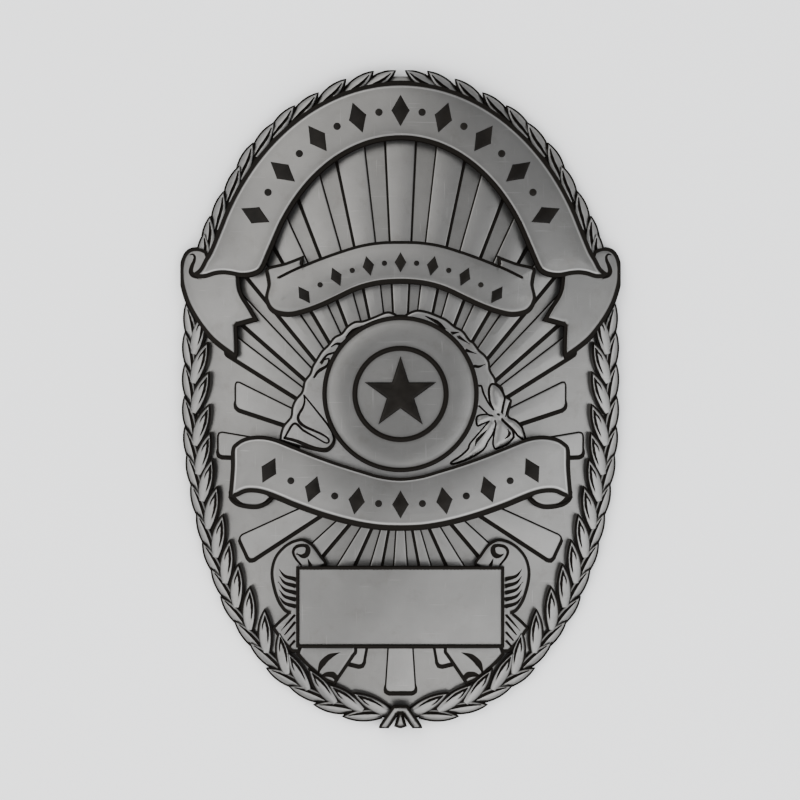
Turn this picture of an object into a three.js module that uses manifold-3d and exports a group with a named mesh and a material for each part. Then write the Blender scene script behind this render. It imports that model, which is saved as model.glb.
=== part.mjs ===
// Police shield badge, lying on its back: +Z out of the face, +Y towards the badge's top, millimetres.
import * as THREE from 'three';
import { mergeVertices } from 'three/addons/utils/BufferGeometryUtils.js';
import Module from 'manifold-3d';

const wasm = await Module();
wasm.setup();

// Whole badge: the width is over the curls of the banner, the height from top leaf to knot
const badgeWidth = 50.2;
const badgeHeight = 75;

// Oval that the outer leaf tips touch, and the height of its widest line
const ovalWidth = 49.6;
const ovalCentreY = 1.6;
const ovalPower = 2.1;
const lowerOvalPower = 2.27;

// Struck plate
const plateInset = 0.8;
const domeRise = 6;
const plateWall = 1.6;
const rimThickness = 1;
const facet = 5;
const gap = 0.3;

// Sunburst: the upper bars run under the banner, the free bars end on the field
const rayRelief = 0.35;
const rayStart = 0.08;
const upperRays = 7;
const upperRayHalfAngle = 2.7;
const upperRayPitch = 9.2;

// Wreath
const leafLength = 5.4;
const outerLeafWidth = 2.3;
const innerLeafWidth = 2.5;
const wreathBand = 3.3;
const stemInset = 1.75;
const tipInset = 0.25;
const stemWidth = 1.7;
const leafThickness = 1.2;
const sideOuterLeaves = 17;
const sideInnerLeaves = 16;
const topLeaves = 10;
const leafBulge = 0.3;
const topLeafBulge = 0.16;

// Ends of the leaf rows and stems: angles from the oval's side, or before its bottom or top
const wreathFromBottom = 0.09;
const outerRowEnd = 0.24;
const innerRowEnd = 0.15;
const sideStemEnd = 0.2;
const topRowStart = 0.55;
const topStemStart = 0.62;
const topRowFromTop = 0.015;
const topStemFromTop = 0.04;

// Banner and ribbons
const leafShowTop = 1.3;
const leafShowSide = 2;
const bannerBand = 6.6;
const bannerEndHeight = 7;
const bannerThickness = 1.1;
const tailThickness = 0.6;
const middleRibbonLength = 31;
const middleRibbonBand = 4.7;
const lowerRibbonLength = 39;
const lowerRibbonBand = 6;

// Seal
const sealDiameter = 17.6;
const sealThickness = 0.8;
const sealRimWidth = 0.9;
const sealInnerRing = 10.4;
const ringWidth = 0.6;
const ringRelief = 0.35;
const starDiameter = 8.6;
const starThickness = 0.45;
const starPoints = 5;
const starInnerShare = 0.382;
const sprigThickness = 0.6;

// Panel and the ornaments beside and under it
const panelWidth = 23.7;
const panelHeight = 9.3;
const panelThickness = 0.7;
const panelFrame = 0.7;
const panelRelief = 0.4;
const scrollReach = 2.9;
const scrollRise = 3.1;
const scrollThickness = 0.7;
const baseLeafThickness = 0.5;

// Knot
const knotWidth = 4.8;
const knotHeight = 2.7;
const knotThickness = 1.3;
const knotOverhang = 0.2;

// Hidden pin: the cloth passes between its stem and the plate
const pinSpan = 28;
const pinDiameter = 1.2;
const pinClearance = 0.8;
const pinFootLength = 3;
const pinFootWidth = 3.4;

const halfWidth = badgeWidth / 2;
const halfHeight = badgeHeight / 2;

// Places up and down the badge, as shares of half its height from its middle
const sunburstY = halfHeight * -0.192;
const bannerCentreY = halfHeight * 0.2;
const middleRibbonY = halfHeight * 0.477;
const lowerRibbonY = halfHeight * -0.237;
const sealY = halfHeight * 0.016;
const panelY = halfHeight * -0.632;
const pinY = halfHeight * 0.267;

const ornamentBase = rayRelief + gap;
const ovalHalfWidth = ovalWidth / 2;
const bannerHalfWidth = ovalHalfWidth - leafShowSide;
const bannerRise = halfHeight - leafShowTop - bannerCentreY;
const ovalTop = halfHeight - ovalCentreY + tipInset - topLeafBulge;
const ovalBottom = halfHeight + ovalCentreY - knotHeight * knotOverhang;
const wreathInnerEdge = wreathBand + innerLeafWidth * leafBulge;
const farBelow = -4;
const lowestSurface = -2;
const farAbove = domeRise * 4;
const circleSides = 40;
const ovalSides = 72;
const bannerOuterSides = 28;
const bannerInnerSides = 22;
const stemSides = 24;
const wireSides = 12;
const weldDistance = 1e-5;
const middleTolerance = 1e-6;
const sharpestMiter = 0.4;
const down = -Math.PI / 2;
const up = Math.PI / 2;

// Surface of the plate's field: a dome that is lowest along the plate's rim
function domeHeight(x, y) {
  const acrossShare = Math.abs(x) / (ovalHalfWidth - plateInset);
  const reach = (y > ovalCentreY ? ovalTop : ovalBottom) - plateInset;
  const alongShare = Math.abs(y - ovalCentreY) / reach;
  return rimThickness + domeRise * (1 - acrossShare ** ovalPower - alongShare ** ovalPower);
}

// Point on the right half of the oval, moved in by an inset
function ovalPoint(angle, inset) {
  const c = Math.cos(angle);
  const s = Math.sin(angle);
  const reach = (s > 0 ? ovalTop : ovalBottom) - inset;
  const power = s > 0 ? ovalPower : lowerOvalPower;
  const x = (ovalHalfWidth - inset) * Math.sign(c) * Math.abs(c) ** (2 / power);
  const y = ovalCentreY + reach * Math.sign(s) * Math.abs(s) ** (2 / power);
  return [x, y];
}

// A three.js geometry as a closed solid for joining and cutting
function solidFrom(geometry) {
  geometry.deleteAttribute('normal');
  geometry.deleteAttribute('uv');
  const merged = mergeVertices(geometry, weldDistance);
  const vertProperties = new Float32Array(merged.attributes.position.array);
  const triVerts = new Uint32Array(merged.index.array);
  return new wasm.Manifold(new wasm.Mesh({ numProp: 3, vertProperties, triVerts }));
}

// Everything below a surface that runs at a lift over the dome
function below(lift) {
  const width = badgeWidth + 2 * facet;
  const height = badgeHeight + 2 * facet;
  const columns = Math.round(width / facet);
  const rows = Math.round(height / facet);
  const geometry = new THREE.BoxGeometry(width, height, 1, columns, rows, 1);
  const position = geometry.attributes.position;
  for (let i = 0; i < position.count; i += 1) {
    const x = position.getX(i);
    const y = position.getY(i);
    const top = Math.max(domeHeight(x, y) + lift, lowestSurface);
    position.setZ(i, position.getZ(i) > 0 ? top : farBelow);
  }
  return solidFrom(geometry);
}

// Upright prism over an outline
function prism(points, from = farBelow, to = farAbove) {
  const shape = new THREE.Shape(points.map(([x, y]) => new THREE.Vector2(x, y)));
  const geometry = new THREE.ExtrudeGeometry(shape, { depth: to - from, bevelEnabled: false });
  geometry.translate(0, 0, from);
  return solidFrom(geometry);
}

// Sheet that follows the dome between two lifts, inside an outline
function sheet(points, low, high) {
  return prism(points).intersect(below(high)).subtract(below(low));
}

// Closed outline with each point moved out by a distance
function grown(points, distance) {
  const area = THREE.ShapeUtils.area(points.map(([x, y]) => new THREE.Vector2(x, y)));
  const turn = Math.sign(area);
  return points.map((point, i) => {
    const before = points[(i + points.length - 1) % points.length];
    const after = points[(i + 1) % points.length];
    const inward = new THREE.Vector2(point[0] - before[0], point[1] - before[1]).normalize();
    const outward = new THREE.Vector2(after[0] - point[0], after[1] - point[1]).normalize();
    const normal = new THREE.Vector2(inward.y + outward.y, -inward.x - outward.x).normalize();
    const miter = Math.max(normal.dot(new THREE.Vector2(inward.y, -inward.x)), sharpestMiter);
    const step = (turn * distance) / miter;
    return [point[0] + normal.x * step, point[1] + normal.y * step];
  });
}

function arc(count, from, to, pointAt) {
  const angles = Array.from({ length: count + 1 }, (_, i) => from + ((to - from) * i) / count);
  return angles.map(pointAt);
}

function circle(radius, y) {
  const points = arc(circleSides, 0, 2 * Math.PI, (t) => [radius * Math.cos(t), y + radius * Math.sin(t)]);
  return points.slice(0, -1);
}

function mirrored(points) {
  return points.map(([x, y]) => [-x, y]);
}

// Half outline from the middle line out and back, joined to its mirror image
function bothHalves(half) {
  const other = mirrored(half).reverse();
  return [...half, ...other.filter(([x]) => Math.abs(x) > middleTolerance)];
}

function fromShares(rows, unitX, unitY, originX, originY) {
  return rows.map(([x, y]) => [originX + x * unitX, originY + y * unitY]);
}

function ovalOutline(inset) {
  const points = arc(ovalSides, -Math.PI, Math.PI, (angle) => ovalPoint(angle, inset));
  return points.slice(0, -1);
}

function addTo(group, name, solid, finish) {
  const mesh = solid.getMesh();
  const geometry = new THREE.BufferGeometry();
  const corners = [];
  for (const vertex of mesh.triVerts) {
    const at = vertex * mesh.numProp;
    corners.push(...mesh.vertProperties.slice(at, at + 3));
  }
  geometry.setAttribute('position', new THREE.Float32BufferAttribute(corners, 3));
  const merged = mergeVertices(geometry, weldDistance);
  merged.computeVertexNormals();
  const piece = new THREE.Mesh(merged, finish);
  piece.name = name;
  group.add(piece);
}

function metal(name, colour, roughness, metalness) {
  const material = new THREE.MeshStandardMaterial({ color: colour, roughness, metalness });
  material.name = name;
  return material;
}

// Banner: an elliptic arch with a wavy end on each side, and the tails that fold back under it
function bannerPoint(angle, inset) {
  const x = (bannerHalfWidth - inset) * Math.cos(angle);
  const y = bannerCentreY + (bannerRise - inset) * Math.sin(angle);
  return [x, y];
}

function bannerBandOutline() {
  const outerEnd = Math.asin(bannerEndHeight / bannerRise);
  const innerEnd = Math.asin(bannerEndHeight / (bannerRise - bannerBand));
  const outer = arc(bannerOuterSides, outerEnd, Math.PI - outerEnd, (t) => bannerPoint(t, 0));
  const inner = arc(bannerInnerSides, Math.PI - innerEnd, innerEnd, (t) => bannerPoint(t, bannerBand));
  return [...outer, ...inner];
}

// Right tail: x in shares of half the badge's width, y in shares of half its height
const tailShares = [
  [0.842, 0.425], [0.887, 0.447], [0.924, 0.457], [0.962, 0.45], [0.987, 0.43], [1, 0.402],
  [0.994, 0.362], [0.975, 0.286], [0.919, 0.221], [0.859, 0.176], [0.762, 0.125], [0.742, 0.14],
  [0.742, 0.226], [0.656, 0.241], [0.7, 0.29], [0.731, 0.335], [0.731, 0.4],
];

// Right half of the middle ribbon: x in shares of half its length, y in shares of its band
const middleRibbonShares = [
  [0, 0], [0.09, -0.015], [0.18, -0.06], [0.43, -0.29], [0.62, -0.53], [0.72, -0.68], [0.745, -0.45],
  [0.87, -0.61], [1, -0.74], [0.975, -1.15], [0.99, -1.42], [0.95, -1.7], [0.86, -1.9],
  [0.75, -1.86], [0.53, -1.5], [0.31, -1.15], [0.12, -1.02], [0, -1],
];

// Right half of the lower ribbon's band, in the same shares
const lowerRibbonShares = [
  [0, 0], [0.1, 0.02], [0.23, 0.11], [0.52, 0.42], [0.74, 0.69], [0.87, 0.75], [0.955, 0.735], [1, 0.64],
  [1, -0.31], [0.91, -0.235], [0.81, -0.28], [0.7, -0.41], [0.42, -0.76], [0.23, -0.92],
  [0.1, -0.985], [0, -1],
];

// Rolled end that shows under the band's end, in the same shares
const rolledEndShares = [
  [1, -0.1], [1, -0.42], [0.94, -0.55], [0.86, -0.55], [0.775, -0.49], [0.72, -0.37], [0.76, -0.1],
];

// Sprig left and flower right of the seal, in shares of the seal's radius
const sprigShares = [
  [-0.15, 1.05], [-0.47, 0.95], [-0.67, 0.9], [-0.78, 0.77], [-0.94, 0.63], [-1.13, 0.42],
  [-1.16, 0.29], [-1.26, 0.12], [-1.37, -0.07], [-1.41, -0.31], [-1.52, -0.41], [-1.55, -0.59],
  [-1.09, -0.71], [-0.94, -0.7], [-0.86, -0.58], [-0.7, -0.3], [-0.9, 0], [-0.7, 0.5], [-0.1, 0.95],
];
const flowerShares = [
  [0.08, 1], [0.2, 1.08], [0.46, 1.03], [0.7, 0.89], [0.93, 0.67], [1.13, 0.46], [1.23, 0.2],
  [1.34, 0.01], [1.42, -0.07], [1.39, -0.29], [1.6, -0.46], [1.62, -0.6], [1.28, -0.69],
  [1.2, -0.69], [1.17, -0.5], [1.09, -0.69], [0.87, -0.82], [0.66, -0.9], [0.86, -0.69],
  [0.97, -0.54], [1.07, -0.43], [0.96, -0.38], [0.8, -0.1], [0.8, 0.4], [0.5, 0.75], [0.1, 0.95],
];

// Right scroll: x in shares of its reach beside the panel, y in shares of its rise over the panel
const scrollShares = [
  [-1.2, -0.3], [-1.03, 0.05], [-0.84, 0.37], [-0.59, 0.7], [-0.36, 0.85], [-0.16, 0.89],
  [0.16, 0.8], [0.44, 0.62], [0.7, 0.33], [0.83, 0], [0.86, -0.36], [0.77, -0.8], [0.62, -1.21],
  [0.42, -1.49], [0.28, -1.57], [0.56, -1.82], [0.77, -2.03], [0.45, -2.45], [0.1, -2.8],
  [-0.2, -2.9], [-0.3, -1.5],
];

// Right base leaf under the panel, in shares of half the panel's width and of its height
const baseLeafShares = [
  [0.43, 0.2], [0.43, -0.06], [0.47, -0.14], [0.64, -0.45], [0.9, -0.3], [1, 0.1], [0.9, 0.2],
];

// Right half of the knot, in shares of half its width and of its height
const knotShares = [
  [0, 0], [0.35, 0], [1, -0.84], [0.97, -0.95], [0.8, -1], [0.64, -0.95], [0.22, -0.32],
  [0.36, -0.86], [0, -0.93],
];

// Plain outline around the right half of the knot, which clears the leaves
const knotHullShares = [[0, 0], [0.35, 0], [1, -0.84], [1, -1.2], [0, -1.2]];

// Right free bars: angle from +X and half angle in degrees, reach in shares of half the badge's height
const freeRays = [
  { angle: 22.4, halfAngle: 4, reach: 0.544 },
  { angle: 5.9, halfAngle: 3.8, reach: 0.559 },
  { angle: -28.6, halfAngle: 4.3, reach: 0.543 },
  { angle: -46, halfAngle: 3.6, reach: 0.502 },
  { angle: -62, halfAngle: 3.6, reach: 0.45 },
  { angle: -76.5, halfAngle: 3, reach: 0.63 },
  { angle: -90, halfAngle: 3.8, reach: 0.7 },
];

function tailOutline() {
  return fromShares(tailShares, halfWidth, halfHeight, 0, 0);
}

function middleRibbonOutline() {
  const half = fromShares(middleRibbonShares, middleRibbonLength / 2, middleRibbonBand, 0, middleRibbonY);
  return bothHalves(half);
}

function lowerRibbonOutline() {
  const half = fromShares(lowerRibbonShares, lowerRibbonLength / 2, lowerRibbonBand, 0, lowerRibbonY);
  return bothHalves(half);
}

function rolledEndOutline() {
  return fromShares(rolledEndShares, lowerRibbonLength / 2, lowerRibbonBand, 0, lowerRibbonY);
}

function panelOutline(inset) {
  const x = panelWidth / 2 - inset;
  const y = panelHeight / 2 - inset;
  return [[-x, panelY - y], [x, panelY - y], [x, panelY + y], [-x, panelY + y]];
}

function knotOutline() {
  const half = fromShares(knotShares, knotWidth / 2, knotHeight, 0, knotHeight - halfHeight);
  return bothHalves(half);
}

const cutBySeal = () => prism(circle(sealDiameter / 2 + gap, sealY));
const cutByBanner = () => prism(grown(bannerBandOutline(), gap));
const cutByTails = () => {
  const right = grown(tailOutline(), gap);
  return prism(right).add(prism(mirrored(right)));
};
const cutByLowerRibbon = () => prism(grown(lowerRibbonOutline(), gap));
const cutByPanel = () => prism(grown(panelOutline(0), gap));
// Clears the left half, up to half a gap past the middle line
const cutByMiddle = () => {
  const edge = gap / 2;
  const left = -badgeWidth;
  return prism([[left, -badgeHeight], [edge, -badgeHeight], [edge, badgeHeight], [left, badgeHeight]]);
};
const cutByKnot = () => {
  const half = fromShares(knotHullShares, knotWidth / 2, knotHeight, 0, knotHeight - halfHeight);
  return prism(grown(bothHalves(half), gap));
};

const insideWreath = () => prism(ovalOutline(wreathInnerEdge + gap));

// Bars of the sunburst
function rayOutline(angle, halfAngle, reach) {
  const corner = (turn, distance) => {
    const t = THREE.MathUtils.degToRad(angle + turn);
    return [distance * Math.cos(t), sunburstY + distance * Math.sin(t)];
  };
  const near = reach * rayStart;
  const right = [corner(-halfAngle, near), corner(-halfAngle, reach)];
  return [...right, corner(halfAngle, reach), corner(halfAngle, near)];
}

// Distance from the sunburst's centre to the middle of the banner's band
function reachToBanner(angle) {
  const t = THREE.MathUtils.degToRad(angle);
  const a = bannerHalfWidth - bannerBand / 2;
  const b = bannerRise - bannerBand / 2;
  const rise = sunburstY - bannerCentreY;
  const square = (Math.cos(t) / a) ** 2 + (Math.sin(t) / b) ** 2;
  const half = (rise * Math.sin(t)) / b ** 2;
  return (-half + Math.sqrt(half ** 2 - square * ((rise / b) ** 2 - 1))) / square;
}

function upperRay(step) {
  const angle = 90 - step * upperRayPitch;
  return { angle, halfAngle: upperRayHalfAngle, reach: reachToBanner(angle) };
}

function sunburst() {
  const upper = Array.from({ length: upperRays }, (_, step) => upperRay(step));
  const free = freeRays.map((ray) => ({ ...ray, reach: ray.reach * halfHeight }));
  const outlines = [...upper, ...free].flatMap(({ angle, halfAngle, reach }) => {
    const right = rayOutline(angle, halfAngle, reach);
    return Math.abs(angle) === 90 ? [right] : [right, mirrored(right)];
  });
  const bars = outlines.map((outline) => prism(outline, 0, farAbove));
  return bars.reduce((all, bar) => all.add(bar));
}

function shieldPlate() {
  const outline = prism(ovalOutline(plateInset), 0, farAbove);
  const field = outline.intersect(below(0));
  const rays = sunburst().intersect(insideWreath()).intersect(below(rayRelief));
  return field.add(rays).subtract(below(-plateWall));
}

// One leaf with a ridge: the sections run from its base to its tip
const leafSections = [
  { along: 0, width: 0.45, edge: 0.35, ridge: 0.6 },
  { along: 0.45, width: 1, edge: 0.45, ridge: 0.9 },
  { along: 0.75, width: 0.7, edge: 0.55, ridge: 1 },
];
const leafTip = { along: 1, lift: 0.75 };

function leaf(base, tip, width) {
  const run = new THREE.Vector2(tip[0] - base[0], tip[1] - base[1]);
  const side = new THREE.Vector2(-run.y, run.x).normalize();
  const vertices = [];
  const put = (along, across, share) => {
    const x = base[0] + run.x * along + side.x * across;
    const y = base[1] + run.y * along + side.y * across;
    const lift = share > 0 ? gap + share * leafThickness : 0;
    vertices.push(x, y, domeHeight(x, y) + lift);
  };
  for (const { along, width: share, edge, ridge } of leafSections) {
    const half = (width * share) / 2;
    put(along, -half, 0);
    put(along, half, 0);
    put(along, half, edge);
    put(along, 0, ridge);
    put(along, -half, edge);
  }
  put(leafTip.along, 0, 0);
  put(leafTip.along, 0, leafTip.lift);
  const ring = 5;
  const last = (leafSections.length - 1) * ring;
  const tipLow = vertices.length / 3 - 2;
  const faces = [0, 3, 2, 0, 4, 3, 0, 2, 1];
  for (let start = 0; start < last; start += ring) {
    for (let i = 0; i < ring; i += 1) {
      const next = (i + 1) % ring;
      faces.push(start + i, start + next, start + ring + next);
      faces.push(start + i, start + ring + next, start + ring + i);
    }
  }
  faces.push(last, last + 1, tipLow);
  faces.push(last + 1, last + 2, tipLow + 1, last + 1, tipLow + 1, tipLow);
  faces.push(last + 2, last + 3, tipLow + 1);
  faces.push(last + 3, last + 4, tipLow + 1);
  faces.push(last + 4, last, tipLow, last + 4, tipLow, tipLow + 1);
  const geometry = new THREE.BufferGeometry();
  geometry.setAttribute('position', new THREE.Float32BufferAttribute(vertices, 3));
  geometry.setIndex(faces);
  return solidFrom(geometry);
}

// Angles on the right half of the oval at equal steps of length
const fineSteps = 400;

function evenAngles(from, to, count, inset) {
  const points = arc(fineSteps, from, to, (angle) => ovalPoint(angle, inset));
  const lengths = [0];
  for (let i = 1; i <= fineSteps; i += 1) {
    const [x, y] = points[i];
    lengths.push(lengths[i - 1] + Math.hypot(x - points[i - 1][0], y - points[i - 1][1]));
  }
  return Array.from({ length: count }, (_, k) => {
    const wanted = (lengths[fineSteps] * (k + 1)) / count;
    const i = lengths.findIndex((length) => length >= wanted);
    return from + ((to - from) * i) / fineSteps;
  });
}

// Base of a leaf on the stem, a leaf's length behind its tip
const walkStep = 0.005;

function leafBase(angle, inset) {
  const tip = ovalPoint(angle, inset);
  let back = angle;
  let point = tip;
  while (Math.hypot(point[0] - tip[0], point[1] - tip[1]) < leafLength && back > down) {
    back -= walkStep;
    point = ovalPoint(back, stemInset);
  }
  return point;
}

function leafRow(from, to, count, inset, width) {
  const angles = evenAngles(from, to, count, inset);
  return angles.map((angle) => leaf(leafBase(angle, inset), ovalPoint(angle, inset), width));
}

function stem(from, to) {
  const outer = arc(stemSides, from, to, (angle) => ovalPoint(angle, stemInset - stemWidth / 2));
  const inner = arc(stemSides, to, from, (angle) => ovalPoint(angle, stemInset + stemWidth / 2));
  return sheet([...outer, ...inner], 0, gap + leafThickness / 3);
}

function mirroredSolid(solid) {
  return solid.mirror([1, 0, 0]);
}

function sideWreath() {
  const start = down + wreathFromBottom;
  const outer = leafRow(start, outerRowEnd, sideOuterLeaves, tipInset, outerLeafWidth);
  const inner = leafRow(start, innerRowEnd, sideInnerLeaves, wreathBand, innerLeafWidth);
  const leaves = [...outer, ...inner].reduce((all, one) => all.add(one), stem(start, sideStemEnd));
  const side = leaves.subtract(below(gap)).subtract(cutByTails());
  return side.subtract(cutByKnot()).subtract(cutByMiddle()).subtract(cutByPanel());
}

function topWreath() {
  const leaves = leafRow(topRowStart, up - topRowFromTop, topLeaves, tipInset, outerLeafWidth);
  const branch = stem(topStemStart, up - topStemFromTop);
  const joined = leaves.reduce((all, one) => all.add(one), branch);
  return joined.subtract(below(gap)).subtract(cutByBanner()).subtract(cutByTails()).subtract(cutByMiddle());
}

function topBanner() {
  const band = sheet(bannerBandOutline(), ornamentBase, ornamentBase + bannerThickness);
  const tail = sheet(tailOutline(), ornamentBase, ornamentBase + tailThickness);
  return band.add(tail).add(mirroredSolid(tail));
}

function middleRibbon() {
  const band = sheet(middleRibbonOutline(), ornamentBase, ornamentBase + bannerThickness);
  return band.subtract(cutByBanner());
}

function lowerRibbon() {
  const band = sheet(lowerRibbonOutline(), ornamentBase, ornamentBase + bannerThickness);
  const roll = sheet(rolledEndOutline(), ornamentBase, ornamentBase + tailThickness);
  return band.add(roll).add(mirroredSolid(roll)).intersect(insideWreath());
}

function ringOf(outer, inner, low, high) {
  return sheet(circle(outer, sealY), low, high).subtract(prism(circle(inner, sealY)));
}

function sealDisc() {
  const radius = sealDiameter / 2;
  const top = ornamentBase + sealThickness;
  const disc = sheet(circle(radius, sealY), ornamentBase, top);
  const rim = ringOf(radius, radius - sealRimWidth, ornamentBase, top + ringRelief);
  const ring = ringOf(sealInnerRing / 2, sealInnerRing / 2 - ringWidth, ornamentBase, top + ringRelief);
  return disc.add(rim).add(ring);
}

function star() {
  const outline = [];
  for (let i = 0; i < starPoints * 2; i += 1) {
    const radius = (starDiameter / 2) * (i % 2 === 0 ? 1 : starInnerShare);
    const t = up + (i * Math.PI) / starPoints;
    outline.push([radius * Math.cos(t), sealY + radius * Math.sin(t)]);
  }
  const low = ornamentBase + sealThickness + gap;
  return sheet(outline, low, low + starThickness);
}

function besideSeal(shares) {
  const radius = sealDiameter / 2;
  const outline = fromShares(shares, radius, radius, 0, sealY);
  const piece = sheet(outline, ornamentBase, ornamentBase + sprigThickness);
  return piece.subtract(cutBySeal()).subtract(cutByLowerRibbon());
}

function numberPanel() {
  const top = ornamentBase + panelThickness;
  const base = sheet(panelOutline(0), ornamentBase, top);
  const frame = sheet(panelOutline(0), ornamentBase, top + panelRelief);
  return base.add(frame.subtract(prism(panelOutline(panelFrame))));
}

function scroll() {
  const panelTop = panelY + panelHeight / 2;
  const outline = fromShares(scrollShares, scrollReach, scrollRise, panelWidth / 2, panelTop);
  const piece = sheet(outline, ornamentBase, ornamentBase + scrollThickness);
  return piece.subtract(cutByPanel()).intersect(insideWreath());
}

function baseLeaf() {
  const panelBottom = panelY - panelHeight / 2;
  const outline = fromShares(baseLeafShares, panelWidth / 2, panelHeight, 0, panelBottom);
  const piece = sheet(outline, ornamentBase, ornamentBase + baseLeafThickness);
  return piece.subtract(cutByPanel()).intersect(insideWreath());
}

function knot() {
  return sheet(knotOutline(), ornamentBase, ornamentBase + knotThickness);
}

// Pin: a round stem between two feet that reach up to the hollow back of the plate
function backPin() {
  const stemZ = pinClearance + pinDiameter / 2;
  const stemShape = new THREE.CylinderGeometry(pinDiameter / 2, pinDiameter / 2, pinSpan, wireSides);
  stemShape.rotateZ(up);
  stemShape.translate(0, pinY, stemZ);
  const feet = [-1, 1].map((side) => {
    const foot = new THREE.BoxGeometry(pinFootLength, pinFootWidth, domeRise);
    foot.translate((side * (pinSpan - pinFootLength)) / 2, pinY, pinClearance + domeRise / 2);
    return solidFrom(foot).intersect(below(-plateWall - gap));
  });
  return solidFrom(stemShape).add(feet[0]).add(feet[1]);
}

const nickel = metal('satin_nickel', 0x858380, 0.35, 1);
const enamel = metal('black_enamel', 0x1b1612, 0.25, 0);
const badge = new THREE.Group();

addTo(badge, 'shield_plate', shieldPlate(), nickel);
const side = sideWreath();
addTo(badge, 'wreath_right', side, nickel);
addTo(badge, 'wreath_left', mirroredSolid(side), nickel);
const top = topWreath();
addTo(badge, 'wreath_top_right', top, nickel);
addTo(badge, 'wreath_top_left', mirroredSolid(top), nickel);
addTo(badge, 'wreath_knot', knot(), nickel);
addTo(badge, 'top_banner', topBanner(), nickel);
addTo(badge, 'middle_ribbon', middleRibbon(), nickel);
addTo(badge, 'lower_ribbon', lowerRibbon(), nickel);
addTo(badge, 'seal_disc', sealDisc(), nickel);
addTo(badge, 'star', star(), enamel);
addTo(badge, 'sprig_left', besideSeal(sprigShares), nickel);
addTo(badge, 'flower_right', besideSeal(flowerShares), nickel);
addTo(badge, 'number_panel', numberPanel(), nickel);
const rightScroll = scroll();
addTo(badge, 'scroll_right', rightScroll, nickel);
addTo(badge, 'scroll_left', mirroredSolid(rightScroll), nickel);
const rightLeaf = baseLeaf();
addTo(badge, 'base_leaf_right', rightLeaf, nickel);
addTo(badge, 'base_leaf_left', mirroredSolid(rightLeaf), nickel);
addTo(badge, 'back_pin', backPin(), nickel);

export default badge;
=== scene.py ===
import math

import bpy
import numpy as np
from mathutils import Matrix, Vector
from mathutils.geometry import delaunay_2d_cdt


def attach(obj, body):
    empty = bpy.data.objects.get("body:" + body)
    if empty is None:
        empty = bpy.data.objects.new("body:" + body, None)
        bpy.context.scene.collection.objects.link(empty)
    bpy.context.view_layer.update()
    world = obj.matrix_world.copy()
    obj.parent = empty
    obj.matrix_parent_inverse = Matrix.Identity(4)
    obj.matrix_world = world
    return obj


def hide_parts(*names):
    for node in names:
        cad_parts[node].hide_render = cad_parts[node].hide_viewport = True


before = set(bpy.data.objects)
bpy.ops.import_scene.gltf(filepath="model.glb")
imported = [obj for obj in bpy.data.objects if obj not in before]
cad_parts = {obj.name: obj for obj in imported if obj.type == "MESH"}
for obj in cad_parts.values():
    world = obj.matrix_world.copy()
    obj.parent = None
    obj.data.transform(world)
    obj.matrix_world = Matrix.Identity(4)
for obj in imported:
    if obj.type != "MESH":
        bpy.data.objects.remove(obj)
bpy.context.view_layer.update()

# Lengths are in millimetres until a mesh is made, which is in metres
MM = 0.001
BODY = "root"

# Photograph's scale: badge height over its height in pixels, and its middle
PHOTO_SIZE = 800
PHOTO_MIDDLE = (400.5, 399.2)
PHOTO_BADGE_HEIGHT = 658.4
BADGE_HEIGHT = 75.0
PX = BADGE_HEIGHT / PHOTO_BADGE_HEIGHT

# Plate, as in the part's source
OVAL_HALF_WIDTH = 24.8
OVAL_CENTRE_Y = 1.6
OVAL_TOP = 35.99
OVAL_BOTTOM = 38.56
OVAL_POWER = 2.1
LOWER_OVAL_POWER = 2.27
PLATE_INSET = 0.8
DOME_RISE = 6.0
RIM_THICKNESS = 1.0
PLATE_WALL = 1.6

# Lifts over the plate's field
RAY_LIFT = 0.35
SKIRT_LIFT = 0.43
PIECE_LOW = 0.04
TAIL_LIFT = 1.45
BAND_LIFT = 1.78
SPRIG_LIFT = 1.2
SEAL_LIFT = 1.45
PANEL_LIFT = 1.35
# Rise of a petal over the flower, and the width over which it rounds off
PETAL_RISE = 0.2
PETAL_ROUND = 0.6

# Box that every vertex stays in
BOX_LOW = (-25.1, -37.5, 0.0)
BOX_HIGH = (25.1, 37.49, 9.19)

# Reliefs: a skirt is wider below by this share as a painted drop shadow, a shaded line is thinner above by
# at most this share as painted light, rings of points end this far in, a swell fades in over this width,
# and a skirt falls outward by this much
SKIRT_SHADOW_SPREAD = 0.35
LIGHT_SIDE_LIMIT = 0.4
RINGS_UP_TO = 3.0
SWELL_FADE = 0.4
SKIRT_FALL = 0.02
# Share of its distance from the edge that a point of a ring keeps
RING_CLEAR = 0.93
# Points that are measured at a time
CHUNK = 2000

# Places across a stroke that get a row of points, as shares of its half width
STROKE_SHARES = (-1.35, -1, -0.5, 0, 0.5, 1, 1.35)

# Fineness of the meshes
EDGE_STEP = 0.2
GRID_STEP = 0.42
LEAF_ROWS = 42
LEAF_COLUMNS = 34


def dome(x, y):
    """Height of the plate's field."""
    reach = np.where(y > OVAL_CENTRE_Y, OVAL_TOP, OVAL_BOTTOM) - PLATE_INSET
    across = (np.abs(x) / (OVAL_HALF_WIDTH - PLATE_INSET)) ** OVAL_POWER
    along = (np.abs(y - OVAL_CENTRE_Y) / reach) ** OVAL_POWER
    return RIM_THICKNESS + DOME_RISE * (1 - across - along)


def photo(points):
    """Points read in the photograph, as millimetres on the badge."""
    return [((p[0] - PHOTO_MIDDLE[0]) * PX, (PHOTO_MIDDLE[1] - p[1]) * PX) + tuple(p[2:]) for p in points]


def mirror(points):
    return [(-p[0],) + tuple(p[1:]) for p in points]


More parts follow.
